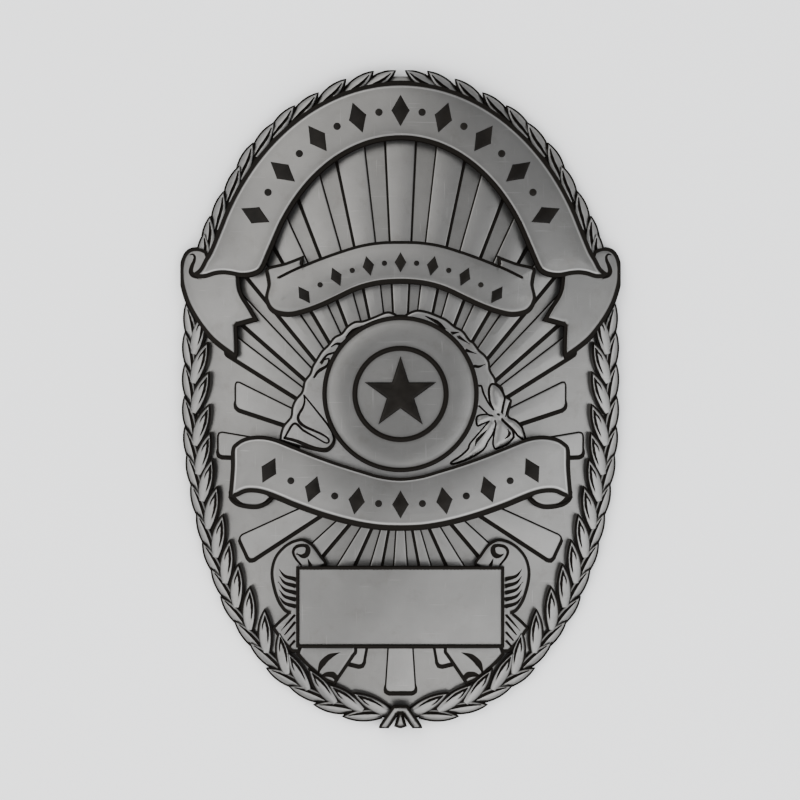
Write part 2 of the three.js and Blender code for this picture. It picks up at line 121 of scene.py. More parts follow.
def oval(angle, inset):
    c, s = math.cos(angle), math.sin(angle)
    reach = (OVAL_TOP if s > 0 else OVAL_BOTTOM) - inset
    power = OVAL_POWER if s > 0 else LOWER_OVAL_POWER
    x = (OVAL_HALF_WIDTH - inset) * math.copysign(abs(c) ** (2 / power), c)
    y = OVAL_CENTRE_Y + reach * math.copysign(abs(s) ** (2 / power), s)
    return x, y


class Build:
    """Gathers vertices, faces and the share of black oxide at each vertex."""

    def __init__(self):
        self.points = []
        self.faces = []
        self.oxide = []

    def add(self, points, oxide, faces):
        start = len(self.points)
        self.points.extend(np.clip(np.array(points, float), BOX_LOW, BOX_HIGH).tolist())
        self.oxide.extend(float(v) for v in oxide)
        self.faces.extend(tuple(start + i for i in face) for face in faces)

    def piece(self, name, material, nodes, sharp=50):
        mesh = bpy.data.meshes.new(name)
        mesh.from_pydata([(x * MM, y * MM, z * MM) for x, y, z in self.points], [], self.faces)
        layer = mesh.attributes.new("oxide", "FLOAT", "POINT")
        layer.data.foreach_set("value", self.oxide)
        mesh.validate()
        mesh.shade_smooth()
        mesh.set_sharp_from_angle(angle=math.radians(sharp))
        mesh.materials.append(material)
        obj = bpy.data.objects.new(name, mesh)
        bpy.context.collection.objects.link(obj)
        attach(obj, BODY)
        if nodes:
            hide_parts(*nodes)
        return obj


CORNER = "corner"


def catmull(p0, p1, p2, p3, t):
    square = 2 * p0 - 5 * p1 + 4 * p2 - p3
    cube = 3 * p1 - p0 - 3 * p2 + p3
    return 0.5 * (2 * p1 + (p2 - p0) * t + square * t**2 + cube * t**3)


def smooth(control, closed=True, step=EDGE_STEP):
    """Smooth line through control points, sharp where a point is marked as a corner."""
    points = [np.array(p[:2], float) for p in control]
    corner = [len(p) > 2 and p[2] == CORNER for p in control]
    count = len(points)
    out = []
    for i in range(count if closed else count - 1):
        a, b = points[i], points[(i + 1) % count]
        ends_here = corner[i] or (not closed and i == 0)
        ends_next = corner[(i + 1) % count] or (not closed and i == count - 2)
        before = a - (b - a) if ends_here else points[i - 1]
        after = b + (b - a) if ends_next else points[(i + 2) % count]
        steps = max(2, int(math.ceil(np.linalg.norm(b - a) / step)))
        out.extend(catmull(before, a, b, after, k / steps) for k in range(steps))
    if not closed:
        out.append(points[-1])
    return np.array(out)


def counter_clockwise(outline):
    return outline[::-1] if signed_area(outline) < 0 else outline


def signed_area(outline):
    x, y = outline[:, 0], outline[:, 1]
    return 0.5 * np.sum(x * np.roll(y, -1) - np.roll(x, -1) * y)


def outward(outline):
    """Unit normals out of a counter-clockwise outline, and the miter of each."""
    edge = np.roll(outline, -1, 0) - outline
    edge /= np.maximum(np.linalg.norm(edge, axis=1, keepdims=True), 1e-9)
    normal = np.stack([edge[:, 1], -edge[:, 0]], 1)
    both = normal + np.roll(normal, 1, 0)
    both /= np.maximum(np.linalg.norm(both, axis=1, keepdims=True), 1e-9)
    return both, 1 / np.clip(np.sum(both * normal, axis=1), 0.5, 1)


def distance_to(points, line, closed=True):
    """Distance from each point to a line, and the place along the line of the nearest point."""
    a = line if closed else line[:-1]
    b = np.roll(line, -1, 0) if closed else line[1:]
    run = b - a
    length2 = np.maximum(np.sum(run**2, 1), 1e-12)
    best = np.full(len(points), 1e9)
    place = np.zeros(len(points))
    for start in range(0, len(points), CHUNK):
        p = points[start : start + CHUNK]
        t = np.clip(np.einsum("pij,ij->pi", p[:, None] - a[None], run) / length2, 0, 1)
        away = np.linalg.norm(p[:, None] - a[None] - t[..., None] * run[None], axis=2)
        nearest = np.argmin(away, 1)
        rows = np.arange(len(p))
        best[start : start + CHUNK] = away[rows, nearest]
        place[start : start + CHUNK] = (nearest + t[rows, nearest]) / len(a)
    return best, place


def inside(points, outline):
    x, y = points[:, 0][:, None], points[:, 1][:, None]
    ax, ay = outline[:, 0][None], outline[:, 1][None]
    bx, by = np.roll(outline[:, 0], -1)[None], np.roll(outline[:, 1], -1)[None]
    crosses = (ay > y) != (by > y)
    at = ax + (y - ay) * (bx - ax) / np.where(by == ay, 1e-12, by - ay)
    return np.sum(crosses & (x < at), 1) % 2 == 1


class Stroke:
    """Engraved line, filled with black: its widths run along its length."""

    def __init__(self, control, widths, depth=0.16):
        self.line = smooth(control, closed=False, step=0.12)
        self.widths = np.array(widths, float)
        self.depth = depth

    def half_width(self, place):
        return np.interp(place, np.linspace(0, 1, len(self.widths)), self.widths) / 2

    def points(self):
        run = np.gradient(self.line, axis=0)
        run /= np.maximum(np.linalg.norm(run, axis=1, keepdims=True), 1e-9)
        side = np.stack([-run[:, 1], run[:, 0]], 1)
        half = self.half_width(np.linspace(0, 1, len(self.line)))[:, None]
        return np.concatenate([self.line + side * half * share for share in STROKE_SHARES])

    def press(self, points):
        away, place = distance_to(points, self.line, closed=False)
        share = away / np.maximum(self.half_width(place), 0.01)
        return self.depth * np.clip(1 - share**2, 0, 1), np.clip((1.3 - share) / 0.3, 0, 1)


def triangles(outline, extra):
    """Delaunay triangles of an outline and extra points in it."""
    points = [Vector(p) for p in np.concatenate([outline, extra])]
    count = len(outline)
    edges = [(i, (i + 1) % count) for i in range(count)]
    verts, _, faces, _, _, _ = delaunay_2d_cdt(points, edges, [], 1, 1e-4)
    return np.array([(v.x, v.y) for v in verts]), faces


def on_dome(plan, lift):
    """Points of a plan, lifted over the plate's field."""
    return np.column_stack([plan, dome(plan[:, 0], plan[:, 1]) + lift])


def ring_faces(rings, count, turned=False):
    """Faces between rings of points that follow one another."""
    faces = []
    for r in range(rings - 1):
        for k in range(count):
            a = r * count + k
            b = r * count + (k + 1) % count
            faces.append((a, b, b + count, a + count) if turned else (a, a + count, b + count, b))
    return faces


def relief(
    build, outline, rows, skirt=0.3, low=PIECE_LOW, strokes=(), grid=GRID_STEP, swell=None, shade=0.0
):
    """Raised piece over the dome. Rows give the lift and the oxide at distances in from the edge.

    Shade makes the line heavier along the edges that face down the badge, as a painted shadow, and lighter
    along those that face up it, as painted light. Skirts are likewise wider below, as a painted drop
    shadow.
    """
    outline = counter_clockwise(outline)
    normal, miter = outward(outline)
    # Line weight per edge: heavier where it faces down (painted shadow), lighter where it faces up
    # (painted light)
    shadow_weight = 1 + shade * np.clip(-normal[:, 1], -LIGHT_SIDE_LIMIT, 1)
    distances, lifts, oxides = (np.array(column, float) for column in zip(*rows))

    def from_edge(points):
        away, place = distance_to(points, outline)
        return away, away / shadow_weight[np.rint(place * len(outline)).astype(int) % len(outline)]

    keep = []
    for d in distances[1:]:
        if d < RINGS_UP_TO:
            ring = outline - normal * (miter * shadow_weight * d)[:, None]
            ring = ring[inside(ring, outline)]
            keep.append(ring[from_edge(ring)[1] > d * RING_CLEAR])
    lo, hi = outline.min(0), outline.max(0)
    xs, ys = np.meshgrid(np.arange(lo[0], hi[0], grid), np.arange(lo[1], hi[1], grid))
    field = np.stack([xs.ravel(), ys.ravel()], 1)
    field = field[inside(field, outline)]
    if len(field):
        away, _ = distance_to(field, outline)
        field = field[away > distances[min(len(distances), 4) - 1] * (1 + shade) + grid * 0.3]
    keep.append(field)
    for stroke in strokes:
        marks = stroke.points()
        marks = marks[inside(marks, outline)]
        if len(marks):
            away, _ = distance_to(marks, outline)
            keep.append(marks[away > 0.03])
    plan, faces = triangles(outline, np.concatenate(keep))
    away, weighed = from_edge(plan)
    lift = np.interp(weighed, distances, lifts)
    oxide = np.interp(weighed, distances, oxides)
    if swell is not None:
        lift = lift + swell(plan) * np.clip(away / SWELL_FADE, 0, 1)
    for stroke in strokes:
        press, black = stroke.press(plan)
        lift = lift - press
        oxide = np.maximum(oxide, black)
    build.add(on_dome(plan, lift), oxide, faces)
    # The skirt is wider on edges that face down the badge: a painted drop shadow
    wide = skirt * (1 + SKIRT_SHADOW_SPREAD * np.clip(-normal[:, 1], 0, 1))
    outer = outline + normal * (miter * wide)[:, None]
    levels = [(outline, lifts[0])]
    if skirt > 0:
        levels += [(outline, SKIRT_LIFT), (outer, SKIRT_LIFT - SKIRT_FALL)]
    close_below(build, levels + [(outer, low)])


def close_below(build, levels):
    """Black walls down through levels of a plan and its lift, and the underside at the last of them."""
    rings = np.concatenate([on_dome(plan, lift) for plan, lift in levels])
    build.add(rings, np.ones(len(rings)), ring_faces(len(levels), len(levels[0][0])))
    outer, low = levels[-1]
    plan, faces = triangles(outer, np.empty((0, 2)))
    build.add(on_dome(plan, low), np.ones(len(plan)), [face[::-1] for face in faces])


def raised_rows(top, line=0.12, fall=0.22, crown=0.0):
    """Edge that is black over a line's width, then a worn shoulder up to bare metal.

    Oxide is 1 on black, small where the metal is tarnished, and below 0 where it is rubbed bright.
    """
    return [
        (0, top - fall - 0.04, 1),
        (line * 0.5, top - fall, 1),
        (line, top - fall * 0.85, 1),
        (line + 0.05, top - fall * 0.35, 0.45),
        (line + 0.11, top - fall * 0.08, -0.1),
        (line + 0.2, top, -0.25),
        (line + 0.34, top + 0.01, 0.08),
        (line + 0.9, top + 0.01 + crown * 0.5, 0.02),
        (line + 1.6, top + 0.01 + crown * 0.85, 0),
        (line + 2.4, top + 0.01 + crown, 0),
        (99, top + 0.01 + crown, 0),
    ]


# Materials

def nodes_of(name):
    material = bpy.data.materials.new(name)
    material.use_nodes = True
    tree = material.node_tree
    return material, tree, tree.nodes["Principled BSDF"]


def noise(tree, scale, detail, roughness=0.5, stretch=(1, 1, 1), turn=0.0):
    coordinates = tree.nodes.new("ShaderNodeTexCoord")
    mapping = tree.nodes.new("ShaderNodeMapping")
    mapping.inputs["Scale"].default_value = stretch
    mapping.inputs["Rotation"].default_value = (0, 0, turn)
    texture = tree.nodes.new("ShaderNodeTexNoise")
    texture.inputs["Scale"].default_value = scale
    texture.inputs["Detail"].default_value = detail
    texture.inputs["Roughness"].default_value = roughness
    tree.links.new(coordinates.outputs["Object"], mapping.inputs["Vector"])
    tree.links.new(mapping.outputs["Vector"], texture.inputs["Vector"])
    return texture.outputs["Fac"]


def ramp(tree, value, stops):
    node = tree.nodes.new("ShaderNodeValToRGB")
    while len(node.color_ramp.elements) < len(stops):
        node.color_ramp.elements.new(0.5)
    for element, (place, shade) in zip(node.color_ramp.elements, stops):
        element.position = place
        element.color = tuple(shade) + (1,) if isinstance(shade, tuple) else (shade, shade, shade, 1)
    tree.links.new(value, node.inputs["Fac"])
    return node.outputs["Color"]


def feed(tree, socket, value):
    """Links an output to a socket, or sets the socket's own value."""
    if hasattr(value, "is_output"):
        tree.links.new(value, socket)
    elif isinstance(value, tuple):
        socket.default_value = value + (1,)
    else:
        socket.default_value = value


def mix(tree, factor, a, b):
    node = tree.nodes.new("ShaderNodeMix")
    node.data_type = "RGBA"
    feed(tree, node.inputs[0], factor)
    feed(tree, node.inputs[6], a)
    feed(tree, node.inputs[7], b)
    return node.outputs[2]


def math_node(tree, operation, a, b):
    node = tree.nodes.new("ShaderNodeMath")
    node.operation = operation
    feed(tree, node.inputs[0], a)
    feed(tree, node.inputs[1], b)
    return node.outputs[0]


def times(tree, a, b):
    return math_node(tree, "MULTIPLY", a, b)


def plus(tree, a, b):
    return math_node(tree, "ADD", a, b)


def bump(tree, height, strength, distance):
    node = tree.nodes.new("ShaderNodeBump")
    node.inputs["Strength"].default_value = strength
    node.inputs["Distance"].default_value = distance
    tree.links.new(height, node.inputs["Height"])
    return node.outputs["Normal"]


OXIDE_BLACK = (0.006, 0.005, 0.004)
GRIME = (0.085, 0.078, 0.069)
PATINA = (0.05, 0.047, 0.043)
RUBBED_BRIGHT = (0.36, 0.354, 0.344)
SCRATCHED = (0.33, 0.324, 0.315)


def nickel_material(name, tone, grain=(1, 12, 1), wear=1.0):
    """Satin nickel silver with black oxide in the recesses, brushed grain and small marks."""
    material, tree, shader = nodes_of(name)
    cloud = noise(tree, 70, 4, 0.6)
    stain = noise(tree, 420, 6, 0.7)
    brushed = noise(tree, 2300, 4, 0.65, grain)
    pits = noise(tree, 5200, 2, 0.5)
    scratches = noise(tree, 500, 2, 0.4, (0.4, 11, 1), 0.5)
    hairlines = noise(tree, 640, 2, 0.4, (11, 0.4, 1), 0.25)
    attribute = tree.nodes.new("ShaderNodeAttribute")
    attribute.attribute_name = "oxide"
    attribute.attribute_type = "GEOMETRY"
    oxide = attribute.outputs["Fac"]
    light = tuple(min(1, c * 1.12) for c in tone)
    dark = tuple(c * 0.84 for c in tone)
    metal = mix(tree, ramp(tree, cloud, [(0.36, 0.0), (0.66, 1.0)]), dark, light)
    grime = times(tree, ramp(tree, stain, [(0.54, 0.0), (0.74, 1.0)]), 0.3 * wear)
    metal = mix(tree, grime, metal, GRIME)
    patina = times(tree, oxide, plus(tree, stain, 0.75))
    metal = mix(tree, ramp(tree, patina, [(0.02, 0.0), (0.6, 0.9)]), metal, PATINA)
    bright = times(tree, oxide, -3.0)
    rubbed = times(tree, bright, plus(tree, stain, 0.35))
    worn = ramp(tree, rubbed, [(0.05, 0.0), (0.7, 1.0)])
    metal = mix(tree, times(tree, worn, 0.55 * wear), metal, RUBBED_BRIGHT)
    lines = ramp(tree, math_node(tree, "MAXIMUM", scratches, hairlines), [(0.7, 0.0), (0.76, 1.0)])
    metal = mix(tree, times(tree, lines, 0.16 * wear), metal, SCRATCHED)
    ragged = times(tree, math_node(tree, "SUBTRACT", stain, 0.5), 0.3)
    black = ramp(tree, plus(tree, oxide, ragged), [(0.42, 0.0), (0.6, 1.0)])
    tree.links.new(mix(tree, black, metal, OXIDE_BLACK), shader.inputs["Base Color"])
    bare = math_node(tree, "SUBTRACT", 1.0, black)
    tree.links.new(times(tree, bare, 0.97), shader.inputs["Metallic"])
    shader.inputs["Specular IOR Level"].default_value = 0.04
    rough = ramp(tree, brushed, [(0.25, 0.3), (0.8, 0.47)])
    rough = mix(tree, black, rough, (0.6, 0.6, 0.6))
    tree.links.new(rough, shader.inputs["Roughness"])
    height = plus(tree, brushed, times(tree, pits, 0.6))
    height = math_node(tree, "SUBTRACT", height, times(tree, lines, 0.5))
    tree.links.new(bump(tree, height, 0.4, 0.00002), shader.inputs["Normal"])
    return material


def enamel_material(name):
    """Hard black enamel with a little dust and fine scratches."""
    material, tree, shader = nodes_of(name)
    cloud = noise(tree, 400, 4, 0.6)
    scratch = noise(tree, 1500, 3, 0.6, (1, 18, 1))
    dust = ramp(tree, cloud, [(0.4, 0.0), (0.75, 1.0)])
    colour = mix(tree, dust, (0.005, 0.0043, 0.0036), (0.011, 0.0095, 0.008))
    tree.links.new(colour, shader.inputs["Base Color"])
    tree.links.new(ramp(tree, scratch, [(0.4, 0.34), (0.75, 0.5)]), shader.inputs["Roughness"])
    shader.inputs["Specular IOR Level"].default_value = 0.06
    tree.links.new(bump(tree, cloud, 0.2, 0.00003), shader.inputs["Normal"])
    return material


def floor_material():
    material, tree, shader = nodes_of("pale_floor")
    cloud = noise(tree, 6, 4)
    tree.links.new(ramp(tree, cloud, [(0.3, 0.92), (0.7, 0.94)]), shader.inputs["Base Color"])
    shader.inputs["Roughness"].default_value = 0.9
    return material


NICKEL = nickel_material("satin_nickel_field", (0.15, 0.147, 0.142), (1, 9, 1))
NICKEL_RAY = nickel_material("satin_nickel_rays", (0.155, 0.152, 0.147), (7, 1, 1))
NICKEL_BAND = nickel_material("satin_nickel_bands", (0.14, 0.1375, 0.133), (1, 14, 1))
# Leaf nickel is lighter, partly to offset the black lines and partly as painted light against the shade
# among the raised leaves
NICKEL_LEAF = nickel_material("satin_nickel_leaves", (0.185, 0.1815, 0.176), (1, 4, 1), 1.2)
NICKEL_PIN = nickel_material("pin_wire", (0.34, 0.333, 0.322), (14, 1, 1), 0.8)
ENAMEL = enamel_material("black_enamel")


# Stage, lights and camera

CAMERA_HEIGHT = 0.6
FLOOR_SIZE = 6


def stage():
    bpy.ops.mesh.primitive_plane_add(size=FLOOR_SIZE)
    floor = bpy.context.object
    floor.name = "floor"
    floor.data.materials.append(floor_material())


def lamp(name, place, size, power, colour=(1, 1, 1)):
    data = bpy.data.lights.new(name, "AREA")
    data.size = size
    data.energy = power
    data.color = colour
    obj = bpy.data.objects.new(name, data)
    obj.location = place
    obj.rotation_mode = "QUATERNION"
    obj.rotation_quaternion = (-Vector(place)).to_track_quat("-Z", "Y")
    bpy.context.collection.objects.link(obj)


def lights():
    lamp("key", (-0.38, 0.5, 0.6), 0.85, 5.4, (1, 0.985, 0.96))
    lamp("fill", (0.6, -0.2, 0.48), 0.75, 5.0, (0.97, 0.985, 1))
    lamp("side", (-0.6, -0.2, 0.45), 0.75, 5.0)
    lamp("low", (0.05, -0.6, 0.5), 0.7, 4.6)
    world = bpy.data.worlds.new("studio")
    world.use_nodes = True
    background = world.node_tree.nodes["Background"]
    background.inputs["Color"].default_value = (0.9, 0.92, 0.95, 1)
    background.inputs["Strength"].default_value = 0.9
    bpy.context.scene.world = world


def camera():
    """Straight above the badge, as the photograph looks at its face."""
    data = bpy.data.cameras.new("camera")
    data.type = "ORTHO"
    data.ortho_scale = PHOTO_SIZE * PX * MM
    obj = bpy.data.objects.new("camera", data)
    x = (PHOTO_SIZE / 2 - PHOTO_MIDDLE[0]) * PX * MM
    y = (PHOTO_MIDDLE[1] - PHOTO_SIZE / 2) * PX * MM
    obj.location = (x, y, CAMERA_HEIGHT)
    bpy.context.collection.objects.link(obj)
    bpy.context.scene.camera = obj


# Plate with its hollow back

PLATE_AROUND = 288
PLATE_TARNISH = 0.1
HOLLOW_TARNISH = 0.3
# Rings of the field and of the hollow, as shares of the plate's plan
FIELD_SHARES = [*np.linspace(0.02, 0.95, 44), 0.965, 0.98, 0.99, 0.996]
HOLLOW_SHARES = [*np.linspace(0.985, 0.9, 14), *np.linspace(0.88, 0.02, 34)]
HOLLOW_EDGE = 0.94
FOOT_SHARE = 0.996
# Rings of the edge: share of the plan, drop as a share of the edge's height, and oxide
EDGE_RINGS = [(0.999, 0.03, 0.1), (1.0, 0.12, 0.05), (1.0, 0.5, 0.05), (1.0, 0.9, 0.1)]


def plate():
    build = Build()
    edge = np.array([oval(2 * math.pi * k / PLATE_AROUND, PLATE_INSET) for k in range(PLATE_AROUND)])
    edge_height = dome(edge[:, 0], edge[:, 1])

    def loop(share):
        return np.column_stack([edge[:, 0] * share, OVAL_CENTRE_Y + (edge[:, 1] - OVAL_CENTRE_Y) * share])

    rings = [on_dome(loop(share), 0) for share in FIELD_SHARES]
    oxide = [PLATE_TARNISH] * len(rings)
    for share, drop, black in EDGE_RINGS:
        rings.append(np.column_stack([loop(share), edge_height * (1 - drop)]))
        oxide.append(black)
    rings.append(np.column_stack([loop(FOOT_SHARE), edge_height * 0]))
    oxide.append(PLATE_TARNISH)
    for share in HOLLOW_SHARES:
        plan = loop(share)
        rings.append(np.column_stack([plan, np.maximum(dome(plan[:, 0], plan[:, 1]) - PLATE_WALL, 0)]))
        oxide.append(HOLLOW_TARNISH if share < HOLLOW_EDGE else PLATE_TARNISH)
    points = np.concatenate(rings)
    faces = ring_faces(len(rings), PLATE_AROUND)
    top_centre = len(points)
    last = top_centre - PLATE_AROUND
    faces += [(top_centre, k, (k + 1) % PLATE_AROUND) for k in range(PLATE_AROUND)]
    faces += [(top_centre + 1, last + (k + 1) % PLATE_AROUND, last + k) for k in range(PLATE_AROUND)]
    top = float(dome(np.array(0.0), np.array(OVAL_CENTRE_Y)))
    centres = [[0, OVAL_CENTRE_Y, top], [0, OVAL_CENTRE_Y, top - PLATE_WALL]]
    shades = list(np.repeat(oxide, PLATE_AROUND)) + [PLATE_TARNISH, HOLLOW_TARNISH]
    build.add(np.concatenate([points, centres]), shades, faces)
    build.piece("plate_body", NICKEL, ["shield_plate"])


# Sunburst

SUNBURST_Y = -7.2
RAY_START = 4.0
RAY_SOFT = 0.5
RAY_HALF_ANGLE = 2.7
RAY_PITCH = 9.2
UPPER_RAYS = 7
BANNER_CENTRE_Y = 7.5
BANNER_HALF_WIDTH = 22.8
BANNER_RISE = 28.7
BANNER_BAND = 6.6
# Each free bar by the angle and distance, from its centre, of its lower and its upper end corner
FREE_RAYS = [
    (18.3, 19.8, 26.4, 21.0), (2.1, 20.8, 9.6, 21.1), (-33.2, 20.5, -24.5, 20.3),
    (-49.8, 18.9, -42.4, 18.7), (-65.7, 17.0, -58.4, 16.9), (-79.5, 23.6, -73.5, 23.6),
    (-93.8, 26.2, -86.2, 26.2),
]
# Distance in from a bar's edge, lift and oxide
RAY_ROWS = [
    (0, 0.2, 1), (0.05, 0.3, 0.9), (0.1, 0.34, 0.1), (0.2, RAY_LIFT, 0), (0.9, RAY_LIFT + 0.06, 0),
    (99, RAY_LIFT + 0.08, 0),
]
# Black line of a bar: its width, the painted shadow added to it on sides that face down, the skirt's lift
# and its low end
RAY_LINE = 0.1
RAY_SHADOW_BELOW = 0.34
RAY_SKIRT_LIFT = 0.06
RAY_LOW = -0.1


def reach_to_banner(angle):
    """Distance along a bar's angle from the sunburst's centre to the middle of the banner's band."""
    t = math.radians(angle)
    a = BANNER_HALF_WIDTH - BANNER_BAND / 2
    b = BANNER_RISE - BANNER_BAND / 2
    rise = SUNBURST_Y - BANNER_CENTRE_Y
    square = (math.cos(t) / a) ** 2 + (math.sin(t) / b) ** 2
    half = rise * math.sin(t) / b**2
    return (-half + math.sqrt(half**2 - square * ((rise / b) ** 2 - 1))) / square


def unit(vector):
    return vector / np.linalg.norm(vector)


def ray_outline(low_angle, low_reach, high_angle, high_reach):
    """Bar between two angles, with soft corners at its free end."""

    def at(angle, distance):
        t = math.radians(angle)
        return np.array([distance * math.cos(t), SUNBURST_Y + distance * math.sin(t)])

    low, high = at(low_angle, low_reach), at(high_angle, high_reach)
    low_start, high_start = at(low_angle, RAY_START), at(high_angle, RAY_START)
    across = unit(high - low)
    along_low = unit(low_start - low)
    along_high = unit(high_start - high)
    control = [
        (*low_start, CORNER),
        (*(low + along_low * RAY_SOFT), CORNER),
        tuple(low + (along_low + across) * RAY_SOFT * 0.3),
        (*(low + across * RAY_SOFT), CORNER),
        (*(high - across * RAY_SOFT), CORNER),
        tuple(high + (along_high - across) * RAY_SOFT * 0.3),
        (*(high + along_high * RAY_SOFT), CORNER),
        (*high_start, CORNER),
    ]
    return smooth(control, step=0.4)


def sunburst():
    build = Build()
    rays = list(FREE_RAYS)
    for k in range(UPPER_RAYS):
        angle = 90 - k * RAY_PITCH
        reach = reach_to_banner(angle)
        rays.append((angle - RAY_HALF_ANGLE, reach, angle + RAY_HALF_ANGLE, reach))
    for low_angle, low_reach, high_angle, high_reach in rays:
        outline = ray_outline(low_angle, low_reach, high_angle, high_reach)
        upright = abs(low_angle + high_angle) == 180
        for side in [outline] if upright else [outline, outline * (-1, 1)]:
            ray(build, side)
    build.piece("sunburst_rays", NICKEL_RAY, [])


def ray(build, outline):
    """Raised bar: its black line is thin above and thick below, the extra width below being a painted
    shadow.
    """
    outline = counter_clockwise(outline)
    normal, miter = outward(outline)
    distances, lifts, oxides = (np.array(column, float) for column in zip(*RAY_ROWS))
    keep = []
    for d in distances[1:5]:
        ring = outline - normal * (miter * d)[:, None]
        away, _ = distance_to(ring, outline)
        keep.append(ring[inside(ring, outline) & (away > d * 0.9)])
    plan, faces = triangles(outline, np.concatenate(keep))
    away, _ = distance_to(plan, outline)
    build.add(on_dome(plan, np.interp(away, distances, lifts)), np.interp(away, distances, oxides), faces)
    # The skirt widens on the sides that face down: a painted shadow
    wide = RAY_LINE + RAY_SHADOW_BELOW * np.sqrt(np.clip(-normal[:, 1], 0, 1))
    outer = outline + normal * (miter * wide)[:, None]
    skirt = [(outline, RAY_SKIRT_LIFT), (outer, RAY_SKIRT_LIFT - 0.01), (outer, RAY_LOW)]
    close_below(build, [(outline, lifts[0])] + skirt)


# Leaves

LEAF_LINE = 0.18
LEAF_STEP = 0.2
LEAF_BODY = 0.22
LEAF_CREASE = 0.2
LEAF_CLOSE = 0.92
LEAF_TAPER = 0.9
LEAF_BASE = 0.7
LEAF_FULL = 2.35
LEAF_CROWDING = 1.25
LEAF_PATINA = 0.25
LEAF_POLISH = 0.22
CREASE_FADE = 0.06
DOWN = -math.pi / 2
UP = math.pi / 2


def ease(value):
    value = np.clip(value, 0, 1)
    return value * value * (3 - 2 * value)


def leaf(build, base, tip, halves, low, high, creases=(), presses=()):
    """Laurel leaf: black line round it, rounded body, and engraved creases.

    Halves are the widths left and right of the line from base to tip. A crease is a list of points: the
    share of the leaf's length, the share of its half width (above 0 on the left) and the width there.
    A press is an outline that the leaf is pushed under, and the lift that it keeps there.
    """
    base, tip = np.array(base, float), np.array(tip, float)
    run = tip - base
    side = np.array([-run[1], run[0]]) / np.linalg.norm(run)
    u = 1 - np.linspace(1, 0, LEAF_ROWS) ** LEAF_CROWDING
    v = np.sin(np.linspace(-1, 1, LEAF_COLUMNS + 1) * UP * LEAF_CLOSE) / math.sin(UP * LEAF_CLOSE)
    shape = (1 - u) ** LEAF_TAPER * (LEAF_BASE + LEAF_FULL * u)
    grid_u, grid_v = np.meshgrid(u, v, indexing="ij")
    half = np.where(grid_v > 0, halves[0], halves[1]) * shape[:, None]
    across = grid_v * half
    x = base[0] + run[0] * grid_u + side[0] * across
    y = base[1] + run[1] * grid_u + side[1] * across
    away = half * (1 - np.abs(grid_v))
    body = ease((away - LEAF_LINE) / 0.1)
    round_over = 1 - (1 - np.clip((away - LEAF_LINE) / np.maximum(half - LEAF_LINE, 0.05), 0, 1)) ** 2
    lift = low + (high - low) * grid_u + body * LEAF_STEP + round_over * LEAF_BODY
    oxide = np.clip((LEAF_LINE + 0.05 - away) / 0.06, 0, 1)
    patina = LEAF_PATINA * (1 - ease((away - LEAF_LINE) / 0.3))
    patina = patina - LEAF_POLISH * ease((grid_u - 0.3) / 0.3) * ease(round_over * 1.4 - 0.4)
    for crease in creases:
        along, middle, wide = (np.array(column, float) for column in zip(*crease))
        here = np.interp(grid_u, along, wide, left=0, right=0) / 2
        share = np.abs(grid_v - np.interp(grid_u, along, middle)) * half / np.maximum(here, CREASE_FADE)
        strength = np.clip(here / CREASE_FADE, 0, 1)
        lift = lift - LEAF_CREASE * strength * np.clip(1 - share**2, 0, 1)
        oxide = np.maximum(oxide, strength * np.clip((1.3 - share) / 0.3, 0, 1))
    flat = np.column_stack([x.ravel(), y.ravel()])
    lift, oxide = lift.ravel(), np.maximum(oxide, patina).ravel()
    for outline, cap in presses:
        near = np.abs(flat - outline.mean(0)) < np.ptp(outline, axis=0)
        if near.all(1).any():
            under = inside(flat, outline)
            lift = np.where(under, np.minimum(lift, cap), lift)
            oxide = np.where(under, 1, oxide)
    ground = dome(flat[:, 0], flat[:, 1])
    top = np.column_stack([flat, ground + lift])
    columns = LEAF_COLUMNS + 1
    faces = []
    for r in range(LEAF_ROWS - 1):
        for c in range(LEAF_COLUMNS):
            a = r * columns + c
            faces.append((a, a + columns, a + columns + 1, a + 1))
    border = [r * columns for r in range(LEAF_ROWS)]
    border += [(LEAF_ROWS - 1) * columns + c for c in range(1, columns)]
    border += [r * columns + columns - 1 for r in range(LEAF_ROWS - 2, -1, -1)]
    border += [c for c in range(columns - 2, 0, -1)]
    under = np.column_stack([flat[border], np.maximum(ground[border] + PIECE_LOW, 0.05)])
    centre = under.mean(0)
    count = len(border)
    start = len(top)
    for i in range(count):
        j = (i + 1) % count
        faces.append((border[j], start + j, start + i, border[i]))
        faces.append((start + j, start + count, start + i))
    shades = np.concatenate([oxide, np.zeros(count + 1)])
    build.add(np.concatenate([top, under, [centre]]), shades, [face[::-1] for face in faces])


def angle_of(point):
    """Angle on the oval of a point of its right half."""
    above = point[1] > OVAL_CENTRE_Y
    reach = OVAL_TOP if above else OVAL_BOTTOM
    power = (OVAL_POWER if above else LOWER_OVAL_POWER) / 2
    up = math.copysign((abs(point[1] - OVAL_CENTRE_Y) / reach) ** power, point[1] - OVAL_CENTRE_Y)
    return math.atan2(up, (abs(point[0]) / OVAL_HALF_WIDTH) ** power)


def leaf_base(tip, base_inset, length):
    """Point of the branch that is a leaf's length behind its tip."""
    back = angle_of(tip)
    point = tip
    while np.linalg.norm(point - tip) < length and back > DOWN + 0.01:
        back -= 0.004
        point = np.array(oval(back, base_inset))
    return point


